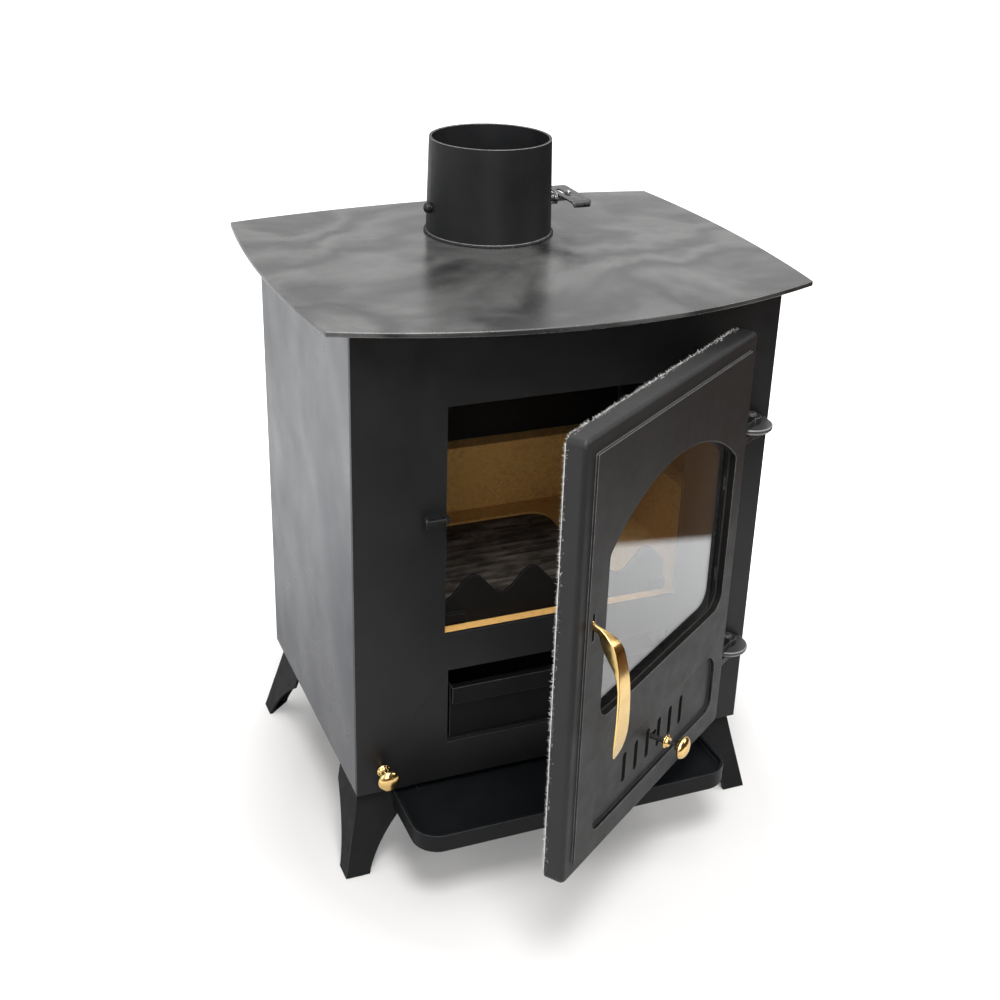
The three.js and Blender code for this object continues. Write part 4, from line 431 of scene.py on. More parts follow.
def bare_metal(name, colour, stained, patch, sheen, rough, grain, ripple_scale, relief):
    """Bare metal with stains, uneven gloss and a fine grain."""
    material, tree, shader = new_material(name, Metallic=1.0)
    if tree is None:
        return material
    stains = use_group(tree, "Mottle", Scale=patch, Detail=5.0)
    gloss = use_group(tree, "Mottle", Scale=sheen, Detail=4.0, Low=rough[0], High=rough[1])
    grains = use_group(tree, "Grain", Scale=grain, Ripple_Scale=ripple_scale, Ripple=0.6)
    base = mix_colours(tree, stains.outputs["Mask"], opaque(colour), stained)
    wire_coat(tree, shader, base, gloss, grains, relief)
    return material


def polished_brass():
    colour = finishes().brass
    return bare_metal("Polished brass", colour, tinted(colour, TARNISH), 60.0, 90.0, (0.12, 0.22),
                      1500.0, 70.0, 0.06)


def bright_steel(name="Bright steel", tone=1.0):
    colour = shade(finishes().steel, tone)
    return bare_metal(name, colour, shade(colour, 0.62), 80.0, 120.0, (0.22, 0.42), 1200.0, 60.0, 0.1)


def darkened_steel():
    # the bright steel at a fifth of its tone, darker all over
    return bright_steel("Darkened steel", 0.2)


def lining_board():
    """Vermiculite: packed golden flakes with darker pits between them."""
    material, tree, shader = new_material("Amber lining board", Metallic=0.0)
    if tree is None:
        return material
    colour = finishes().brick
    place = object_place(tree)
    flakes = add_node(tree, "ShaderNodeTexVoronoi", {"Scale": 330.0, "Randomness": 1.0})
    fine = add_node(tree, "ShaderNodeTexNoise", {"Scale": 700.0, "Detail": 3.0, "Roughness": 0.7})
    tint = use_group(tree, "Mottle", Scale=12.0, Detail=4.0)
    tree.links.new(place, flakes.inputs["Vector"])
    tree.links.new(place, fine.inputs["Vector"])
    tones = add_node(tree, "ShaderNodeValToRGB")
    dark, light = tones.color_ramp.elements
    dark.color, dark.position = shade(colour, 0.6), 0.12
    light.color, light.position = tinted(colour, FLAKE_LIGHT), 0.92
    tones.color_ramp.elements.new(0.5).color = opaque(colour)
    split = add_node(tree, "ShaderNodeSeparateColor")
    tree.links.new(flakes.outputs["Color"], split.inputs["Color"])
    blend = math_node(tree, "MULTIPLY", split.outputs[0], 0.55)
    pepper = math_node(tree, "MULTIPLY", fine.outputs["Fac"], 0.45)
    tree.links.new(math_node(tree, "ADD", blend, pepper), tones.inputs["Fac"])
    soft = mix_colours(tree, tint.outputs["Mask"], tones.outputs["Color"], opaque(colour))
    tree.links.new(soft, shader.inputs["Base Color"])
    shader.inputs["Roughness"].default_value = 0.85
    depth = math_node(tree, "SUBTRACT", fine.outputs["Fac"], flakes.outputs["Distance"])
    add_bump(tree, shader, depth, 0.45, BOARD_DEPTH)
    return material


def grate_iron():
    """Grate casting with ash dust lying along its bars."""
    material, tree, shader = new_material("Dusty grate iron", Metallic=0.1)
    if tree is None:
        return material
    colour = finishes().grate
    streaks = add_node(tree, "ShaderNodeTexNoise", {"Scale": 40.0, "Detail": 5.0, "Roughness": 0.6})
    tree.links.new(object_place(tree, (0.35, 2.2, 1.0)), streaks.inputs["Vector"])
    lay = add_node(tree, "ShaderNodeMapRange", {"From Min": 0.45, "From Max": 0.72})
    tree.links.new(streaks.outputs["Fac"], lay.inputs["Value"])
    grains = use_group(tree, "Grain", Scale=500.0, Ripple_Scale=60.0, Ripple=0.8)
    dusted = mix_colours(tree, lay.outputs["Result"], opaque(colour), ASH_DUST)
    tree.links.new(dusted, shader.inputs["Base Color"])
    shader.inputs["Roughness"].default_value = 0.62
    add_bump(tree, shader, grains.outputs["Height"], 0.5, BOARD_DEPTH)
    return material


def rope_fibre():
    material, tree, shader = new_material("White fibre rope", Metallic=0.0, Roughness=0.95)
    if tree is None:
        return material
    colour = finishes().rope
    shadowed = use_group(tree, "Mottle", Scale=300.0, Detail=3.0)
    base = mix_colours(tree, shadowed.outputs["Mask"], opaque(colour), shade(colour, 0.72))
    tree.links.new(base, shader.inputs["Base Color"])
    return material


def glass_tape():
    return painted("Dark woven tape", DARK_TAPE, 1.6, (0.85, 0.95), grain=1500.0, wear_and_highlight=0.0)


def ceramic_glass():
    material, tree, shader = new_material(
        "Ceramic glass", Metallic=0.0, Transmission_Weight=1.0, IOR=1.5, Coat_Weight=0.5,
        Coat_Roughness=0.01)
    if tree is None:
        return material
    haze = use_group(tree, "Mottle", Scale=30.0, Detail=4.0, Low=0.0, High=0.04)
    shader.inputs["Base Color"].default_value = GLASS_TINT
    tree.links.new(haze.outputs["Value"], shader.inputs["Roughness"])
    return material


# ------------------------------------------------------------------ mesh helpers
def object_from(name, bm, matrix=BODY_FRAME):
    """A new object at the origin from a bmesh, with its place in its mesh."""
    bmesh.ops.transform(bm, matrix=matrix, verts=bm.verts)
    mesh = bpy.data.meshes.new(name)
    bm.to_mesh(mesh)
    bm.free()
    mesh.shade_smooth()
    piece = bpy.data.objects.new(name, mesh)
    bpy.context.scene.collection.objects.link(piece)
    return piece


def freeze(piece):
    """Turns what the modifiers make into the piece's own plain mesh."""
    graph = bpy.context.evaluated_depsgraph_get()
    mesh = bpy.data.meshes.new_from_object(piece.evaluated_get(graph))
    piece.modifiers.clear()
    piece.data = mesh
    return piece


def keep_flat(piece):
    """Gives the corners of a flat face the normal of the largest face of its plane."""
    mesh = piece.data
    flat = [item.value for item in mesh.attributes["flat"].data]
    normals = [tuple(corner.vector) for corner in mesh.corner_normals]
    planes = []
    for face in sorted(mesh.polygons, key=lambda item: item.area, reverse=True):
        if flat[face.index] and face.material_index == 0:
            normal = next((plane for plane in planes if plane.dot(face.normal) > SAME_PLANE), None)
            if normal is None:
                normal = face.normal.copy()
                planes.append(normal)
            for corner in face.loop_indices:
                normals[corner] = tuple(normal)
        face.material_index = 0
    mesh.normals_split_custom_set(normals)
    mesh.attributes.remove(mesh.attributes["flat"])


def mark_edges(piece):
    """Writes 1 to the edge attribute where only a rounding's own faces meet, and 0 elsewhere."""
    mesh = piece.data
    inside = [1.0] * len(mesh.vertices)
    for face in mesh.polygons:
        if face.material_index == 0:
            for index in face.vertices:
                inside[index] = 0.0
    mesh.attributes.new("edge", "FLOAT", "POINT").data.foreach_set("value", inside)


def round_edges(piece, width, segments=2):
    """Bevels hard edges, keeps flat faces flat, and freezes the result."""
    for _ in range(2):  # the second one tells the rounding's own faces
        piece.data.materials.append(None)
    if width > 0:
        bevel = piece.modifiers.new("Round", "BEVEL")
        bevel.width = width
        bevel.segments = segments
        bevel.limit_method = "ANGLE"
        bevel.angle_limit = math.radians(HARD_BEND)
        bevel.use_clamp_overlap = False
        bevel.loop_slide = False
        bevel.material = 1
        bevel.miter_outer = "MITER_ARC"
    weighted = piece.modifiers.new("Even", "WEIGHTED_NORMAL")
    weighted.keep_sharp = True
    weighted.weight = 100
    freeze(piece)
    mark_edges(piece)
    keep_flat(piece)
    return piece


def mark_flat(bm):
    """Marks the faces that no smooth bend touches."""
    flat = bm.faces.layers.int.new("flat")
    for face in bm.faces:
        bends = [math.degrees(edge.calc_face_angle(0.0)) for edge in face.edges]
        face[flat] = int(all(bend < EVEN_BEND or bend > HARD_BEND for bend in bends))


def copy_of(node):
    """A merged copy of a CAD node's mesh."""
    bm = bmesh.new()
    bm.from_mesh(frame["nodes"][node].data)
    bmesh.ops.remove_doubles(bm, verts=bm.verts, dist=MERGE)
    bm.normal_update()
    mark_flat(bm)
    return object_from(node + "_finished", bm)


def settle(piece, body, slot, material, *nodes):
    """Gives a finished piece its material and its body, and hides the CAD nodes that it stands for; the slot
    is not used.
    """
    piece.data.materials.clear()
    piece.data.materials.append(material)
    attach(piece, body)
    if nodes:
        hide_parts(*nodes)
    return piece


def dress(node, body, slot, material, width, segments=2):
    """A CAD node as it is, with rounded edges and its finish."""
    return settle(round_edges(copy_of(node), width, segments), body, slot, material, node)


def paint_shade_on_walls(piece, material, inverse, low, high):
    """Gives the walls of slots and windows, inside a box of a frame, a dark second material: painted shade in
    these recesses.
    """
    piece.data.materials.append(material)
    turn = inverse.to_3x3()
    for face in piece.data.polygons:
        at = inverse @ face.center
        inside = all(low[axis] < at[axis] < high[axis] for axis in range(3))
        if inside and abs((turn @ face.normal).y) < 0.85:
            face.material_index = 1


def turned(name, profile, matrix):
    """A piece turned about the local z axis from (radius, height) points that start and end on the axis
    or close on themselves."""
    segments = sizes().round_segments
    bm = bmesh.new()
    closed = profile[0] == profile[-1]
    rows = profile[:-1] if closed else profile
    rings = []
    for radius, height in rows:
        if radius <= 0:
            rings.append([bm.verts.new((0, 0, height))])
            continue
        ring = []
        for step in range(segments):
            angle = 2 * math.pi * step / segments
            ring.append(bm.verts.new((radius * math.cos(angle), radius * math.sin(angle), height)))
        rings.append(ring)
    pairs = list(zip(rings, rings[1:] + ([rings[0]] if closed else [])))
    for low, high in pairs:
        for step in range(segments):
            after = (step + 1) % segments
            corners = [low[step % len(low)], low[after % len(low)],
                       high[after % len(high)], high[step % len(high)]]
            unique = list(dict.fromkeys(corners))
            if len(unique) > 2:
                bm.faces.new(unique)
    bmesh.ops.recalc_face_normals(bm, faces=bm.faces)
    return object_from(name, bm, matrix)


def toward(matrix, at, direction):
    """A matrix that puts the local z axis along a direction of a frame, at a point of it."""
    turn = Vector((0, 0, 1)).rotation_difference(Vector(direction)).to_matrix().to_4x4()
    return matrix @ Matrix.Translation(at) @ turn


def rounded_profile(points, radius, steps=4):
    """The profile with its inner corners rounded by short curves."""
    result = [points[0]]
    for before, corner, after in zip(points, points[1:], points[2:]):
        corner_v = Vector(corner)
        back, ahead = Vector(before) - corner_v, Vector(after) - corner_v
        reach = min(radius, 0.45 * back.length, 0.45 * ahead.length)
        start = corner_v + back.normalized() * reach
        end = corner_v + ahead.normalized() * reach
        for step in range(steps + 1):
            t = step / steps
            point = start * (1 - t) ** 2 + corner_v * 2 * t * (1 - t) + end * t ** 2
            result.append((point.x, point.y))
    result.append(points[-1])
    return result


# ------------------------------------------------------------------ geometry trees
def new_tree(name, inputs):
    tree = bpy.data.node_groups.new(name, "GeometryNodeTree")
    tree.interface.new_socket("Geometry", in_out="INPUT", socket_type="NodeSocketGeometry")
    for label, kind, default in inputs:
        socket = tree.interface.new_socket(label, in_out="INPUT", socket_type=kind)
        if default is not None:
            socket.default_value = default
    tree.interface.new_socket("Geometry", in_out="OUTPUT", socket_type="NodeSocketGeometry")
    return tree, add_node(tree, "NodeGroupInput"), add_node(tree, "NodeGroupOutput")


def chain(tree, *sockets):
    """Links sockets in pairs: an output, then the input that it feeds."""
    for start, end in zip(sockets[::2], sockets[1::2]):
        tree.links.new(start, end)


def close_tree(tree, given, result, geometry):
    """Ends a tree in Realize Instances, smooth shading and Set Material."""
    realize = add_node(tree, "GeometryNodeRealizeInstances")
    smooth = add_node(tree, "GeometryNodeSetShadeSmooth")
    finish = add_node(tree, "GeometryNodeSetMaterial")
    chain(tree, geometry, realize.inputs["Geometry"],
          realize.outputs["Geometry"], smooth.inputs["Geometry"],
          smooth.outputs["Geometry"], finish.inputs["Geometry"],
          given.outputs["Material"], finish.inputs["Material"],
          finish.outputs["Geometry"], result.inputs["Geometry"])


def stepped_path(tree, given):
    """The modifier's own path as a curve, with a point at every step."""
    to_curve = add_node(tree, "GeometryNodeMeshToCurve")
    resample = add_node(tree, "GeometryNodeResampleCurve", mode="LENGTH")
    chain(tree, given.outputs["Geometry"], to_curve.inputs["Mesh"],
          to_curve.outputs["Curve"], resample.inputs["Curve"],
          given.outputs["Step"], resample.inputs["Length"])
    return resample.outputs["Curve"]


def grow(name, path, tree, **values):
    """Runs a geometry tree on a closed path of points and freezes the result as a new piece."""
    bm = bmesh.new()
    points = [bm.verts.new(point) for point in path]
    for first, second in zip(points, points[1:] + points[:1]):
        bm.edges.new((first, second))
    piece = object_from(name, bm)
    modifier = piece.modifiers.new("Grow", "NODES")
    modifier.node_group = tree
    for item in tree.interface.items_tree:
        label = item.name.replace(" ", "_")
        if item.in_out == "INPUT" and label in values:
            modifier[item.identifier] = values[label]
    return freeze(piece)


FIBRE_TIP = 0.00006  # radii in metres
FIBRE_ROOT = 0.00022
FIBRE_TILT = (1.2, 1.2, 3.1)  # radians either way
FIBRE_SHARES = (0.4, 1.0)  # shortest and longest, of the full length
LUMP_LEVEL = 0.62  # noise at which the rope keeps its radius
OPEN_LEAN = 0.1  # least lean of a face to the open side that carries fibres


def rope_tree():
    """A fuzzy rope along a closed path: an uneven round body with loose fibres standing out of it."""
    tree, given, result = new_tree("Fuzzy rope", [
        ("Radius", "NodeSocketFloat", 0.005), ("Step", "NodeSocketFloat", 0.003),
        ("Unevenness", "NodeSocketFloat", 0.0006), ("Fibre Length", "NodeSocketFloat", 0.003),
        ("Fibre Density", "NodeSocketFloat", 100000.0), ("Open Side", "NodeSocketVector", (0, 1, 0)),
        ("Material", "NodeSocketMaterial", None)])
    circle = add_node(tree, "GeometryNodeCurvePrimitiveCircle", {"Resolution": 14})
    tube = add_node(tree, "GeometryNodeCurveToMesh", {"Fill Caps": True})
    chain(tree, stepped_path(tree, given), tube.inputs["Curve"],
          given.outputs["Radius"], circle.inputs["Radius"],
          circle.outputs["Curve"], tube.inputs["Profile Curve"])
    lumps = add_node(tree, "ShaderNodeTexNoise", {"Scale": 240.0, "Detail": 2.0})
    normal = add_node(tree, "GeometryNodeInputNormal")
    centred = add_node(tree, "ShaderNodeMath", operation="SUBTRACT")
    centred.inputs[1].default_value = LUMP_LEVEL
    height = add_node(tree, "ShaderNodeMath", operation="MULTIPLY")
    push = add_node(tree, "ShaderNodeVectorMath", operation="SCALE")
    move = add_node(tree, "GeometryNodeSetPosition")
    chain(tree, lumps.outputs["Fac"], centred.inputs[0], centred.outputs[0], height.inputs[0],
          given.outputs["Unevenness"], height.inputs[1], normal.outputs["Normal"], push.inputs[0],
          height.outputs[0], push.inputs["Scale"], tube.outputs["Mesh"], move.inputs["Geometry"],
          push.outputs["Vector"], move.inputs["Offset"])
    scatter = add_node(tree, "GeometryNodeDistributePointsOnFaces", {"Seed": 7})
    fibre = add_node(tree, "GeometryNodeMeshCone",
                     {"Vertices": 3, "Radius Top": FIBRE_TIP, "Radius Bottom": FIBRE_ROOT})
    tilt = add_node(tree, "FunctionNodeRandomValue", {"Seed": 3}, data_type="FLOAT_VECTOR")
    tilt.inputs[0].default_value = tuple(-angle for angle in FIBRE_TILT)
    tilt.inputs[1].default_value = FIBRE_TILT
    lean = add_node(tree, "FunctionNodeRotateEuler", rotation_type="EULER", space="LOCAL")
    plant = add_node(tree, "GeometryNodeInstanceOnPoints")
    facing = add_node(tree, "ShaderNodeVectorMath", operation="DOT_PRODUCT")
    open_part = add_node(tree, "ShaderNodeMath", operation="GREATER_THAN")
    open_part.inputs[1].default_value = OPEN_LEAN
    chain(tree, normal.outputs["Normal"], facing.inputs[0], given.outputs["Open Side"], facing.inputs[1],
          facing.outputs["Value"], open_part.inputs[0], open_part.outputs[0], scatter.inputs["Selection"])
    size = add_node(tree, "FunctionNodeRandomValue", {"Seed": 5}, data_type="FLOAT")
    size.inputs[2].default_value, size.inputs[3].default_value = FIBRE_SHARES
    join = add_node(tree, "GeometryNodeJoinGeometry")
    chain(tree, move.outputs["Geometry"], scatter.inputs["Mesh"], given.outputs["Fibre Density"],
          scatter.inputs["Density"], given.outputs["Fibre Length"], fibre.inputs["Depth"],
          scatter.outputs["Points"], plant.inputs["Points"], fibre.outputs["Mesh"], plant.inputs["Instance"],
          scatter.outputs["Rotation"], lean.inputs["Rotation"], tilt.outputs[0], lean.inputs["Rotate By"],
          lean.outputs["Rotation"], plant.inputs["Rotation"], size.outputs[1], plant.inputs["Scale"],
          plant.outputs["Instances"], join.inputs["Geometry"],
          move.outputs["Geometry"], join.inputs["Geometry"])
    close_tree(tree, given, result, join.outputs["Geometry"])
    return tree


def bead_tree():
    """A weld bead along a path: overlapping flattened drops."""
    tree, given, result = new_tree("Weld bead", [
        ("Radius", "NodeSocketFloat", 0.002), ("Step", "NodeSocketFloat", 0.0022),
        ("Material", "NodeSocketMaterial", None)])
    drop = add_node(tree, "GeometryNodeMeshUVSphere", {"Segments": 12, "Rings": 8})
    place = add_node(tree, "GeometryNodeInstanceOnPoints")
    wobble = add_node(tree, "FunctionNodeRandomValue", {"Seed": 11}, data_type="FLOAT_VECTOR")
    wobble.inputs[0].default_value = (0.85, 0.85, 0.7)
    wobble.inputs[1].default_value = (1.15, 1.15, 0.95)
    chain(tree, stepped_path(tree, given), place.inputs["Points"],
          given.outputs["Radius"], drop.inputs["Radius"],
          drop.outputs["Mesh"], place.inputs["Instance"],
          wobble.outputs[0], place.inputs["Scale"])
    close_tree(tree, given, result, place.outputs["Instances"])
    return tree


# ------------------------------------------------------------------ operators: body
class StoveOperator(bpy.types.Operator):
    """Base of the stove's operators."""

    bl_options = {"REGISTER", "UNDO"}


class STOVE_OT_body(StoveOperator):
    """Front, sides, back and base of the steel body"""

    bl_idname = "stove.body"
    bl_label = "Body Shell"

    def execute(self, context):
        edge = sizes().sheet_edge
        dress("front_panel", "stove_body", "painted_steel", black_paint(), edge / 2)
        for node in ("back_panel", "base_plate"):
            dress(node, "stove_body", "painted_steel", black_paint(), edge)
        for node in ("left_side_panel", "right_side_panel"):
            dress(node, "stove_body", "painted_steel", side_paint(), edge)
        return {"FINISHED"}


class STOVE_OT_top(StoveOperator):
    """Bowed top plate"""

    bl_idname = "stove.top"
    bl_label = "Top Plate"

    def execute(self, context):
        dress("top_plate", "stove_body", "top_steel", top_paint(), sizes().plate_edge, 3)
        return {"FINISHED"}


class STOVE_OT_legs(StoveOperator):
    """Four splayed legs"""

    bl_idname = "stove.legs"
    bl_label = "Legs"

    def execute(self, context):
        for node in ("leg_front_left", "leg_front_right", "leg_rear_left", "leg_rear_right"):
            dress(node, "stove_body", "cast_iron", leg_iron(), sizes().cast_edge)
        return {"FINISHED"}


class STOVE_OT_tray(StoveOperator):
    """Hearth tray with its tongue"""

    bl_idname = "stove.tray"
    bl_label = "Hearth Tray"
    floor_below_rim = 0.0085
    plate = 0.0025
    edge = 0.0015
    under = 0.006  # into the leg's arch
    lap = 0.009  # past the leg, to the floor's own width
    depth = 0.034  # of the floor under the body
    reach = 0.0035  # in front of the front panel
    tuck = 0.0088  # behind it, up to the legs

    def execute(self, context):
        dress("hearth_tray", "stove_body", "painted_steel", tray_paint(), sizes().sheet_edge)
        low, high = node_box("hearth_tray")
        panel = node_box("front_panel")[0].y
        leg_edges = (node_box("leg_front_left")[1].x, node_box("leg_front_right")[0].x)
        top = high.z - self.floor_below_rim
        for side, outer, leg in (("left", low.x, leg_edges[0]), ("right", high.x, leg_edges[1])):
            inward = 1 if side == "left" else -1
            start, end = outer + inward * self.edge, leg + inward * self.lap
            beside = leg - inward * self.under
            self.ear("tray_ear_" + side, start, end, panel - self.reach, panel + self.tuck, top)
            self.ear("tray_cheek_" + side, beside, end, panel + self.tuck, panel + self.depth, top)
        return {"FINISHED"}

    def ear(self, name, x_start, x_end, front, rear, top):
        """A small plate that closes the corner between the tray's floor and a leg."""
        bm = bmesh.new()
        bmesh.ops.create_cube(bm, size=1.0)
        mark_flat(bm)
        size = Vector((abs(x_end - x_start), rear - front, self.plate))
        middle = Vector(((x_start + x_end) / 2, (front + rear) / 2, top - self.plate / 2))
        plate = object_from(name, bm, Matrix.Translation(middle) @ Matrix.Diagonal(size).to_4x4())
        settle(round_edges(plate, EAR_EDGE), "stove_body", "painted_steel", tray_paint())


class STOVE_OT_flue(StoveOperator):
    """Flue collar with its weld bead"""

    bl_idname = "stove.flue"
    bl_label = "Flue Collar"
    steps = 180  # round the weld's path
    weld_rise = 0.6  # of the bead's radius, over the collar's foot
    weld_step = 1.15  # of the bead's radius, from drop to drop

    def execute(self, context):
        dress("flue_collar", "stove_body", "painted_steel", collar_paint(), sizes().sheet_edge)
        low, high = node_box("flue_collar")
        bead = sizes().weld_bead
        radius = (high.x - low.x) / 2 - bead
        centre = (low + high) / 2
        path = []
        for step in range(self.steps):
            angle = 2 * math.pi * step / self.steps
            path.append((centre.x + radius * math.cos(angle), centre.y + radius * math.sin(angle),
                         low.z + self.weld_rise * bead))
        weld = grow("collar_weld", path, bead_tree(), Radius=bead, Step=self.weld_step * bead,
                    Material=collar_paint())
        settle(weld, "stove_body", "painted_steel", collar_paint())
        return {"FINISHED"}


class STOVE_OT_damper(StoveOperator):
    """Flue damper: disc, spindle, spring, cap and wing handle"""

    bl_idname = "stove.damper"
    bl_label = "Damper"

    def execute(self, context):
        dress("damper_disc", "damper", "cast_iron", cast_iron(), sizes().sheet_edge)
        dress("damper_spindle", "damper", "bright_steel", bright_steel(), FINE_EDGE)
        dress("damper_spring", "damper", "painted_steel", black_paint(), 0.0)
        dress("damper_cap", "damper", "painted_steel", black_paint(), FINE_EDGE)
        dress("damper_wing", "damper", "bright_steel", darkened_steel(), sizes().sheet_edge)
        return {"FINISHED"}


# ------------------------------------------------------------------ operators: inside
class STOVE_OT_lining(StoveOperator):
    """Lining boards round the fire"""

    bl_idname = "stove.lining"
    bl_label = "Lining Boards"

    def execute(self, context):
        for part in ("bed", "front", "left", "right", "rear_lower", "rear_upper"):
            dress("lining_" + part, "stove_body", "vermiculite", lining_board(), sizes().brick_edge)
        return {"FINISHED"}


class STOVE_OT_fire_irons(StoveOperator):
    """Grate, grate shelf, log guard, baffle and its ledges"""

    bl_idname = "stove.fire_irons"
    bl_label = "Grate and Baffle"

    def execute(self, context):
        dress("grate", "stove_body", "grate_iron", grate_iron(), sizes().cast_edge)
        for node in ("grate_shelf", "log_guard", "baffle_plate", "baffle_ledge_left", "baffle_ledge_right"):
            dress(node, "stove_body", "inner_steel", soot_and_shade_steel(), sizes().sheet_edge)
        return {"FINISHED"}


class STOVE_OT_ash(StoveOperator):
    """Ash floor, runners and ash pan"""

    bl_idname = "stove.ash"
    bl_label = "Ash Pan"

    def execute(self, context):
        for node in ("ash_floor", "ash_runner_left", "ash_runner_right"):
            dress(node, "stove_body", "inner_steel", soot_and_shade_steel(), sizes().sheet_edge)
        dress("ash_pan", "ash_pan", "pan_steel", pan_steel(), sizes().sheet_edge)
        return {"FINISHED"}


# ------------------------------------------------------------------ operators: controls
def knob_profile(radius, depth):
    """A mushroom knob: neck, flared underside and a full round crown."""
    neck = 0.46 * radius
    points = [(0.0, 0.0), (neck, 0.0), (0.92 * neck, 0.16 * depth), (neck, 0.24 * depth)]
    for step in range(6):
        angle = math.radians(-60 + 12 * step)
        points.append((radius * (0.55 + 0.45 * math.cos(angle)), depth * (0.52 + 0.24 * math.sin(angle))))
    for step in range(9):
        angle = math.radians(90 * step / 8)
        points.append((radius * math.cos(angle), depth * (0.52 + 0.48 * math.sin(angle))))
    points[-1] = (0.0, depth)
    return points


ROSETTE_ROUNDING = 0.0006
PRIMARY_ROSETTE_HOLE = 0.003
PRIMARY_ROSETTE_NECK = (0.0045, 0.007)
DOOR_ROSETTE_HOLE = 0.0023


def make_knob(node, body, matrix, inverse):
    """A turned brass knob in the place of its CAD node."""
    low, high = node_box(node, inverse)
    at = ((low.x + high.x) / 2, high.y, (low.z + high.z) / 2)
    profile = knob_profile((high.z - low.z) / 2, high.y - low.y)
    piece = turned(node + "_turned", profile, toward(matrix, at, (0, -1, 0)))
    settle(piece, body, "brass", polished_brass(), node)


def make_rosette(node, body, matrix, inverse, hole, neck=(0.0, 0.0)):
    """A stepped boss round a rod, on a neck of the given radius and length."""
    low, high = node_box(node, inverse)
    radius, foot = (high.z - low.z) / 2, neck[1]
    depth = high.y - low.y - foot
    at = ((low.x + high.x) / 2, high.y, (low.z + high.z) / 2)
    outline = [(hole, 0.0), (neck[0], 0.0), (neck[0], foot)] if foot else [(hole, 0.0)]
    outline += [(0.96 * radius, foot), (radius, foot + 0.12 * depth), (radius, foot + 0.34 * depth),
                (0.8 * radius, foot + 0.5 * depth), (0.7 * radius, foot + 0.92 * depth),
                (0.55 * radius, foot + depth), (hole, foot + depth)]
    profile = rounded_profile(outline, ROSETTE_ROUNDING)
    piece = turned(node + "_turned", profile + [profile[0]], toward(matrix, at, (0, -1, 0)))
    settle(piece, body, "brass", polished_brass(), node)


class STOVE_OT_primary_air(StoveOperator):
    """Primary air knob, rosette, rod and shutter"""

    bl_idname = "stove.primary_air"
    bl_label = "Primary Air"

    def execute(self, context):
        make_knob("primary_air_knob", "primary_air", BODY_FRAME, BODY_FRAME)
        make_rosette("primary_air_rosette", "stove_body", BODY_FRAME, BODY_FRAME, PRIMARY_ROSETTE_HOLE,
                     PRIMARY_ROSETTE_NECK)
        dress("primary_air_rod", "primary_air", "bright_steel", bright_steel(), FINE_EDGE)
        dress("primary_air_shutter", "primary_air", "inner_steel", soot_and_shade_steel(), sizes().sheet_edge)
        return {"FINISHED"}


class STOVE_OT_hinges(StoveOperator):
    """Hinge tabs, hinge pins and the latch keeper"""

    bl_idname = "stove.hinges"
    bl_label = "Hinges and Keeper"

    def execute(self, context):
        for level in ("upper", "lower"):
            dress("hinge_tab_" + level, "stove_body", "cast_iron", highlit_worn_iron(), HINGE_EDGE, 3)
            dress("hinge_pin_" + level, "stove_body", "cast_iron", highlit_worn_iron(), CLIP_EDGE)
        dress("latch_keeper", "stove_body", "painted_steel", black_paint(), FINE_EDGE)
        return {"FINISHED"}


# ------------------------------------------------------------------ operators: door
class STOVE_OT_door(StoveOperator):
    """Cast door"""

    bl_idname = "stove.door"
    bl_label = "Door Casting"
    rim = 0.024  # plain border of the face
    recess = 0.0022  # walls deeper than this below the face get the dark steel as painted shade

    def execute(self, context):
        casting = dress("door_casting", "door", "cast_iron", cast_iron(), CASTING_EDGE)
        low, high = node_box("door_casting", DOOR_INVERSE)
        inset = Vector((self.rim, self.recess, self.rim))
        far = Vector((high.x - self.rim, high.y, high.z - self.rim))
        # the walls of the door's slots and window get the dark steel: painted shade
        paint_shade_on_walls(casting, soot_and_shade_steel(), DOOR_INVERSE, low + inset, far)
        return {"FINISHED"}


class STOVE_OT_rope(StoveOperator):
    """Fibre rope seal round the back of the door"""

    bl_idname = "stove.rope"
    bl_label = "Rope Seal"
    overhang = 0.0043  # of the rope over the rim beside its channel
    corner = 0.009  # radius of the path's corners
    clear = 0.0002  # before the channel's rear
    quarter = 6  # steps in a corner

    def execute(self, context):
        low, high = node_box("door_rope_seal", DOOR_INVERSE)
        radius, corner = sizes().rope_diameter / 2, self.corner
        inset = radius - self.overhang
        rear = high.y - radius - self.clear
        left, right = low.x + inset, high.x - inset
        bottom, top = low.z + inset, high.z - inset
        path = []
        corners = ((right - corner, top - corner, 0), (left + corner, top - corner, 90),
                   (left + corner, bottom + corner, 180), (right - corner, bottom + corner, 270))
        for x, z, start in corners:
            for step in range(self.quarter + 1):
                angle = math.radians(start + 90 / self.quarter * step)
                point = Vector((x + corner * math.cos(angle), rear, z + corner * math.sin(angle)))
                path.append(DOOR_FRAME @ point)
        open_side = tuple(DOOR_FRAME.to_3x3() @ Vector((0, 1, 0)))
        rope = grow("rope_seal", path, rope_tree(), Radius=radius, Fibre_Length=sizes().fibre_length,
                    Fibre_Density=sizes().fibre_density, Open_Side=open_side, Material=rope_fibre())
        settle(rope, "door", "rope", rope_fibre(), "door_rope_seal")
        return {"FINISHED"}


class STOVE_OT_window(StoveOperator):
    """Ceramic glass, its tape gasket and clips"""

    bl_idname = "stove.window"
    bl_label = "Window"

    def execute(self, context):
        dress("door_glass", "door", "glass", ceramic_glass(), GLASS_EDGE)
        dress("glass_gasket", "door", "gasket", glass_tape(), FINE_EDGE)
        for side in ("left", "right"):
            for level in ("lower", "upper"):
                dress(f"glass_clip_{side}_{level}", "door", "bright_steel", darkened_steel(), CLIP_EDGE)
        return {"FINISHED"}


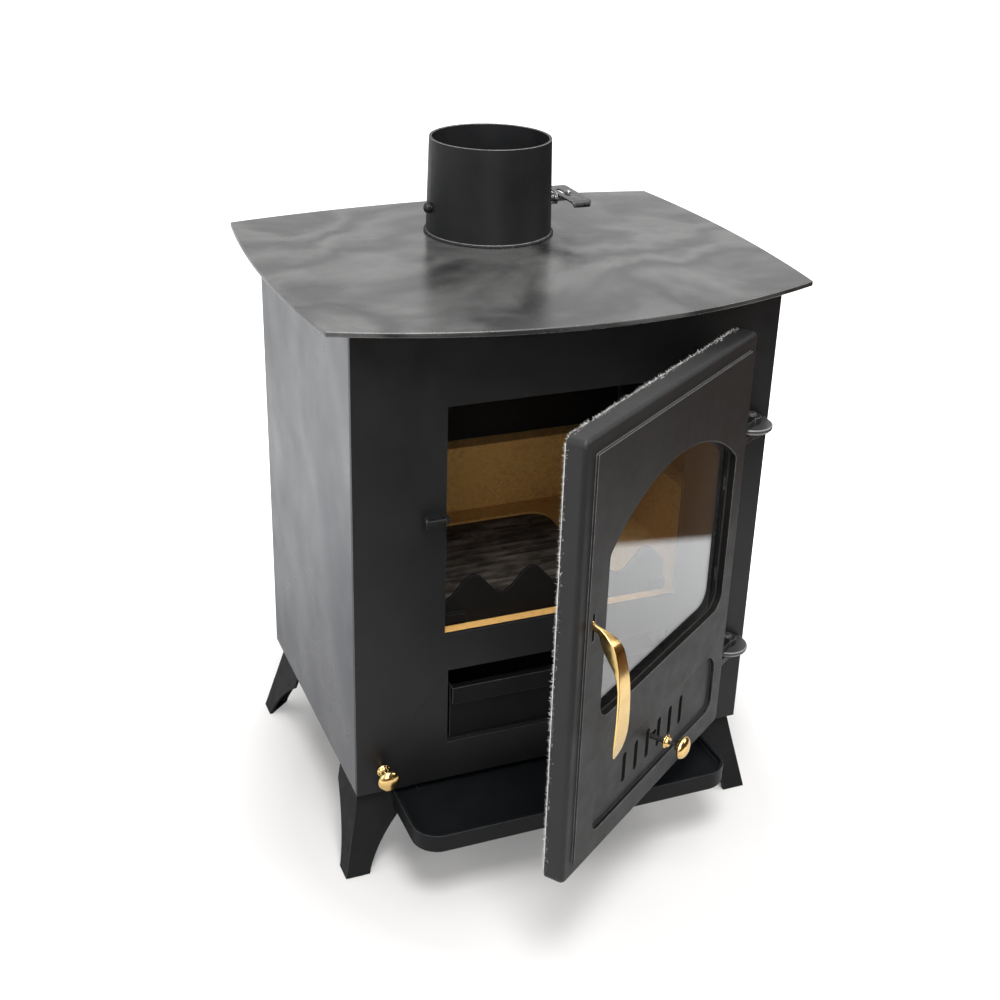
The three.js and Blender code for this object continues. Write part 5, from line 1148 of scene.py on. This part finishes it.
class STOVE_OT_door_air(StoveOperator):
    """Air slider in the door, with its guides, stem, rosette and knob"""

    bl_idname = "stove.door_air"
    bl_label = "Door Air Slider"

    def execute(self, context):
        for level in ("lower", "upper"):
            dress("air_guide_" + level, "door", "bright_steel", bright_steel(), CLIP_EDGE)
        dress("air_slider", "door_air", "inner_steel", soot_and_shade_steel(), FINE_EDGE)
        dress("air_slider_stem", "door_air", "painted_steel", black_paint(), FINE_EDGE)
        make_rosette("air_slider_rosette", "door_air", DOOR_FRAME, DOOR_INVERSE, DOOR_ROSETTE_HOLE)
        make_knob("air_slider_knob", "door_air", DOOR_FRAME, DOOR_INVERSE)
        return {"FINISHED"}


class STOVE_OT_handle(StoveOperator):
    """Brass leaf handle with its hook, and the pin it turns on"""

    bl_idname = "stove.handle"
    bl_label = "Door Handle"

    def execute(self, context):
        dress("door_handle", "door_handle", "brass", polished_brass(), sizes().handle_edge)
        dress("door_handle_pin", "door", "bright_steel", bright_steel(), FINE_EDGE)
        return {"FINISHED"}


# ------------------------------------------------------------------ stage
CAMERA_AT = Vector((-0.6483, -1.42054, 1.1737))
CAMERA_YAW = 22.75  # degrees to the right of straight at the front
CAMERA_PITCH = 25.91  # degrees down
CAMERA_ROLL = 1.79
LENS = 53.6  # millimetres
SENSOR = 36.0
LAMP_TARGET = Vector((0, 0, 0.4))
LAMPS = (  # name, place, size in metres, watts
    ("Key", (-0.45, -1.35, 2.7), 1.0, 72),
    ("Side", (2.2, -0.9, 2.0), 1.4, 30),
    ("Front", (-0.8, -2.4, 1.2), 1.2, 20),
    ("Left", (-2.2, -0.2, 1.5), 1.2, 12),
    ("Top", (0.1, 0.4, 2.6), 2.0, 26),
)
FLOOR_REACH = 8.0  # half the width of the floor
FLOOR_DROP = 0.0004  # below the legs' soles
ROOM = (0.085, 0.045, 0.02, 1.0)  # the dim room past the white sweep, as seen in gloss and glass
SWEEP_RIGHT = (1.0, -0.18, 0.0)  # across the sweep's right edge
SWEEP_RIGHT_REACH = 0.94
SWEEP_FRONT = (0.0, -1.0, 0.0)
SWEEP_FRONT_REACH = 0.87
TOWARD_SCREEN = (-0.6, 0.75, 0.5)  # from the stove to the white screen
SWEEP_EDGE = 0.015  # half the width over which the sweep's edge fades
# greyer floor colour near the stove: a painted shadow round it
FLOOR_NEAR_PAINTED_SHADOW = (0.58, 0.57, 0.56, 1.0)
FLOOR_FAR = (0.8, 0.8, 0.8, 1.0)
AMBIENT = 0.38  # world strength that lights the object


def camera_matrix():
    """The camera's place and turn, from its yaw, pitch and roll."""
    yaw, pitch, roll = (math.radians(a) for a in (CAMERA_YAW, CAMERA_PITCH, CAMERA_ROLL))
    ahead = Vector((math.sin(yaw) * math.cos(pitch), math.cos(yaw) * math.cos(pitch), -math.sin(pitch)))
    right = Vector((math.cos(yaw), -math.sin(yaw), 0))
    up = right.cross(ahead)
    turned_right = right * math.cos(roll) + up * math.sin(roll)
    turned_up = up * math.cos(roll) - right * math.sin(roll)
    rotation = Matrix((turned_right, turned_up, -ahead)).transposed().to_4x4()
    return Matrix.Translation(CAMERA_AT) @ rotation


def add_lamp(name, at, size, power):
    """A square soft lamp that points at the middle of the stove."""
    data = bpy.data.lights.new(name, "AREA")
    data.shape = "RECTANGLE"
    data.size = data.size_y = size
    data.energy = power
    lamp = bpy.data.objects.new(name, data)
    lamp.location = at
    lamp.rotation_euler = (LAMP_TARGET - Vector(at)).to_track_quat("-Z", "Y").to_euler()
    bpy.context.scene.collection.objects.link(lamp)


def ray_kinds(tree):
    """Two masks: camera rays, and the glossy and transmission rays in which the object shows the room."""
    path = add_node(tree, "ShaderNodeLightPath")
    mirrored = math_node(tree, "MAXIMUM", path.outputs["Is Glossy Ray"], path.outputs["Is Transmission Ray"])
    return path.outputs["Is Camera Ray"], mirrored


def ramp(tree, value, start, end, low=0.0, high=1.0):
    """Low below start, high above end, and even between them."""
    node = add_node(tree, "ShaderNodeMapRange",
                    {"From Min": start, "From Max": end, "To Min": low, "To Max": high})
    tree.links.new(value, node.inputs["Value"])
    return node.outputs["Result"]


def beyond(tree, direction, reach):
    """1 past a straight edge of the floor, 0 before it."""
    coordinates = add_node(tree, "ShaderNodeTexCoord")
    along = add_node(tree, "ShaderNodeVectorMath", operation="DOT_PRODUCT")
    tree.links.new(coordinates.outputs["Object"], along.inputs[0])
    along.inputs[1].default_value = direction
    return ramp(tree, along.outputs["Value"], reach - SWEEP_EDGE, reach + SWEEP_EDGE)


def distance_from(tree, point):
    """Distance of the floor's own coordinates from a point of it."""
    coordinates = add_node(tree, "ShaderNodeTexCoord")
    node = add_node(tree, "ShaderNodeVectorMath", operation="DISTANCE")
    tree.links.new(coordinates.outputs["Object"], node.inputs[0])
    node.inputs[1].default_value = point
    return node.outputs["Value"]


def floor_material():
    """A white sweep with the object's shadow, which gloss and glass see end in a dim room.

    The ramps run over metres from the stove: the base colour, greyer near the stove as a painted shadow,
    the light of the white that the camera sees, and the light of the white that gloss and glass see,
    both weaker near the stove."""
    material = bpy.data.materials.new("White floor")
    material.use_nodes = True
    tree = material.node_tree
    shader = tree.nodes["Principled BSDF"]
    shader.inputs["Roughness"].default_value = 0.9
    shader.inputs["Specular IOR Level"].default_value = 0.0
    shader.inputs["Emission Color"].default_value = (1, 1, 1, 1)
    camera, mirrored = ray_kinds(tree)
    right = beyond(tree, SWEEP_RIGHT, SWEEP_RIGHT_REACH)
    past = math_node(tree, "MAXIMUM", right, beyond(tree, SWEEP_FRONT, SWEEP_FRONT_REACH))
    dim = math_node(tree, "MULTIPLY", mirrored, past)
    away = distance_from(tree, (0, 0, 0))
    white = mix_colours(tree, ramp(tree, away, 0.35, 0.9), FLOOR_NEAR_PAINTED_SHADOW, FLOOR_FAR)
    tree.links.new(mix_colours(tree, dim, white, ROOM), shader.inputs["Base Color"])
    seen = math_node(tree, "MULTIPLY", camera, ramp(tree, away, 0.3, 0.8, 0.14, 1.0))
    shown = math_node(tree, "SUBTRACT", mirrored, dim)
    bright = math_node(tree, "MULTIPLY", shown, ramp(tree, away, 0.6, 1.4, 0.0, 0.6))
    tree.links.new(math_node(tree, "ADD", seen, bright), shader.inputs["Emission Strength"])
    return material


def studio_world():
    """White to the camera; in gloss and glass a white screen behind the object and a dim room before it."""
    world = bpy.data.worlds.new("Studio")
    world.use_nodes = True
    tree = world.node_tree
    ground = tree.nodes["Background"]
    camera, mirrored = ray_kinds(tree)
    coordinates = add_node(tree, "ShaderNodeTexCoord")
    toward_screen = add_node(tree, "ShaderNodeVectorMath", operation="DOT_PRODUCT")
    tree.links.new(coordinates.outputs["Generated"], toward_screen.inputs[0])
    toward_screen.inputs[1].default_value = TOWARD_SCREEN
    away = ramp(tree, toward_screen.outputs["Value"], -0.25, 0.2, 1.0, 0.0)
    dim = math_node(tree, "MULTIPLY", mirrored, away)
    tree.links.new(mix_colours(tree, dim, (1, 1, 1, 1), ROOM), ground.inputs["Color"])
    seen = math_node(tree, "MAXIMUM", camera, mirrored)
    strength = math_node(tree, "MULTIPLY", seen, 1 - AMBIENT)
    tree.links.new(math_node(tree, "ADD", strength, AMBIENT), ground.inputs["Strength"])
    return world


class STOVE_OT_stage(StoveOperator):
    """Floor, backdrop light, lamps and camera"""

    bl_idname = "stove.stage"
    bl_label = "Stage"

    def execute(self, context):
        scene = context.scene
        scene.view_settings.view_transform = "Standard"
        camera_data = bpy.data.cameras.new("Camera")
        camera_data.lens = LENS
        camera_data.sensor_width = SENSOR
        camera = bpy.data.objects.new("Camera", camera_data)
        camera.matrix_world = camera_matrix()
        scene.collection.objects.link(camera)
        scene.camera = camera

        bm = bmesh.new()
        bmesh.ops.create_grid(bm, x_segments=1, y_segments=1, size=FLOOR_REACH)
        floor = object_from("floor", bm, Matrix.Translation((0, 0, -FLOOR_DROP)))
        floor.data.materials.append(floor_material())
        scene.world = studio_world()

        for lamp in LAMPS:
            add_lamp(*lamp)
        return {"FINISHED"}


# ------------------------------------------------------------------ panel and registration
PIECE_OPERATORS = (
    STOVE_OT_body, STOVE_OT_top, STOVE_OT_legs, STOVE_OT_tray, STOVE_OT_flue, STOVE_OT_damper,
    STOVE_OT_lining, STOVE_OT_fire_irons, STOVE_OT_ash, STOVE_OT_primary_air, STOVE_OT_hinges,
    STOVE_OT_door, STOVE_OT_rope, STOVE_OT_window, STOVE_OT_door_air, STOVE_OT_handle,
)


class STOVE_PT_panel(bpy.types.Panel):
    """Lists the stove's operators"""

    bl_idname = "STOVE_PT_panel"
    bl_label = "Wood Stove"
    bl_space_type = "VIEW_3D"
    bl_region_type = "UI"
    bl_category = "Stove"

    def draw(self, context):
        column = self.layout.column(align=True)
        for operator in (STOVE_OT_stage,) + PIECE_OPERATORS:
            column.operator(operator.bl_idname)
        for group in (context.scene.stove.sizes, context.scene.stove.finishes):
            for name in group.__annotations__:
                column.prop(group, name)


CLASSES = (StoveSizes, StoveFinishes, StoveSettings, STOVE_OT_stage) + PIECE_OPERATORS + (STOVE_PT_panel,)


def register():
    for cls in CLASSES:
        bpy.utils.register_class(cls)
    bpy.types.Scene.stove = PointerProperty(type=StoveSettings)


def unregister():
    del bpy.types.Scene.stove
    for cls in reversed(CLASSES):
        bpy.utils.unregister_class(cls)


def main():
    register()
    bpy.ops.stove.stage()
    for operator in PIECE_OPERATORS:
        category, name = operator.bl_idname.split(".")
        getattr(getattr(bpy.ops, category), name)()


if __name__ == "__main__":
    main()
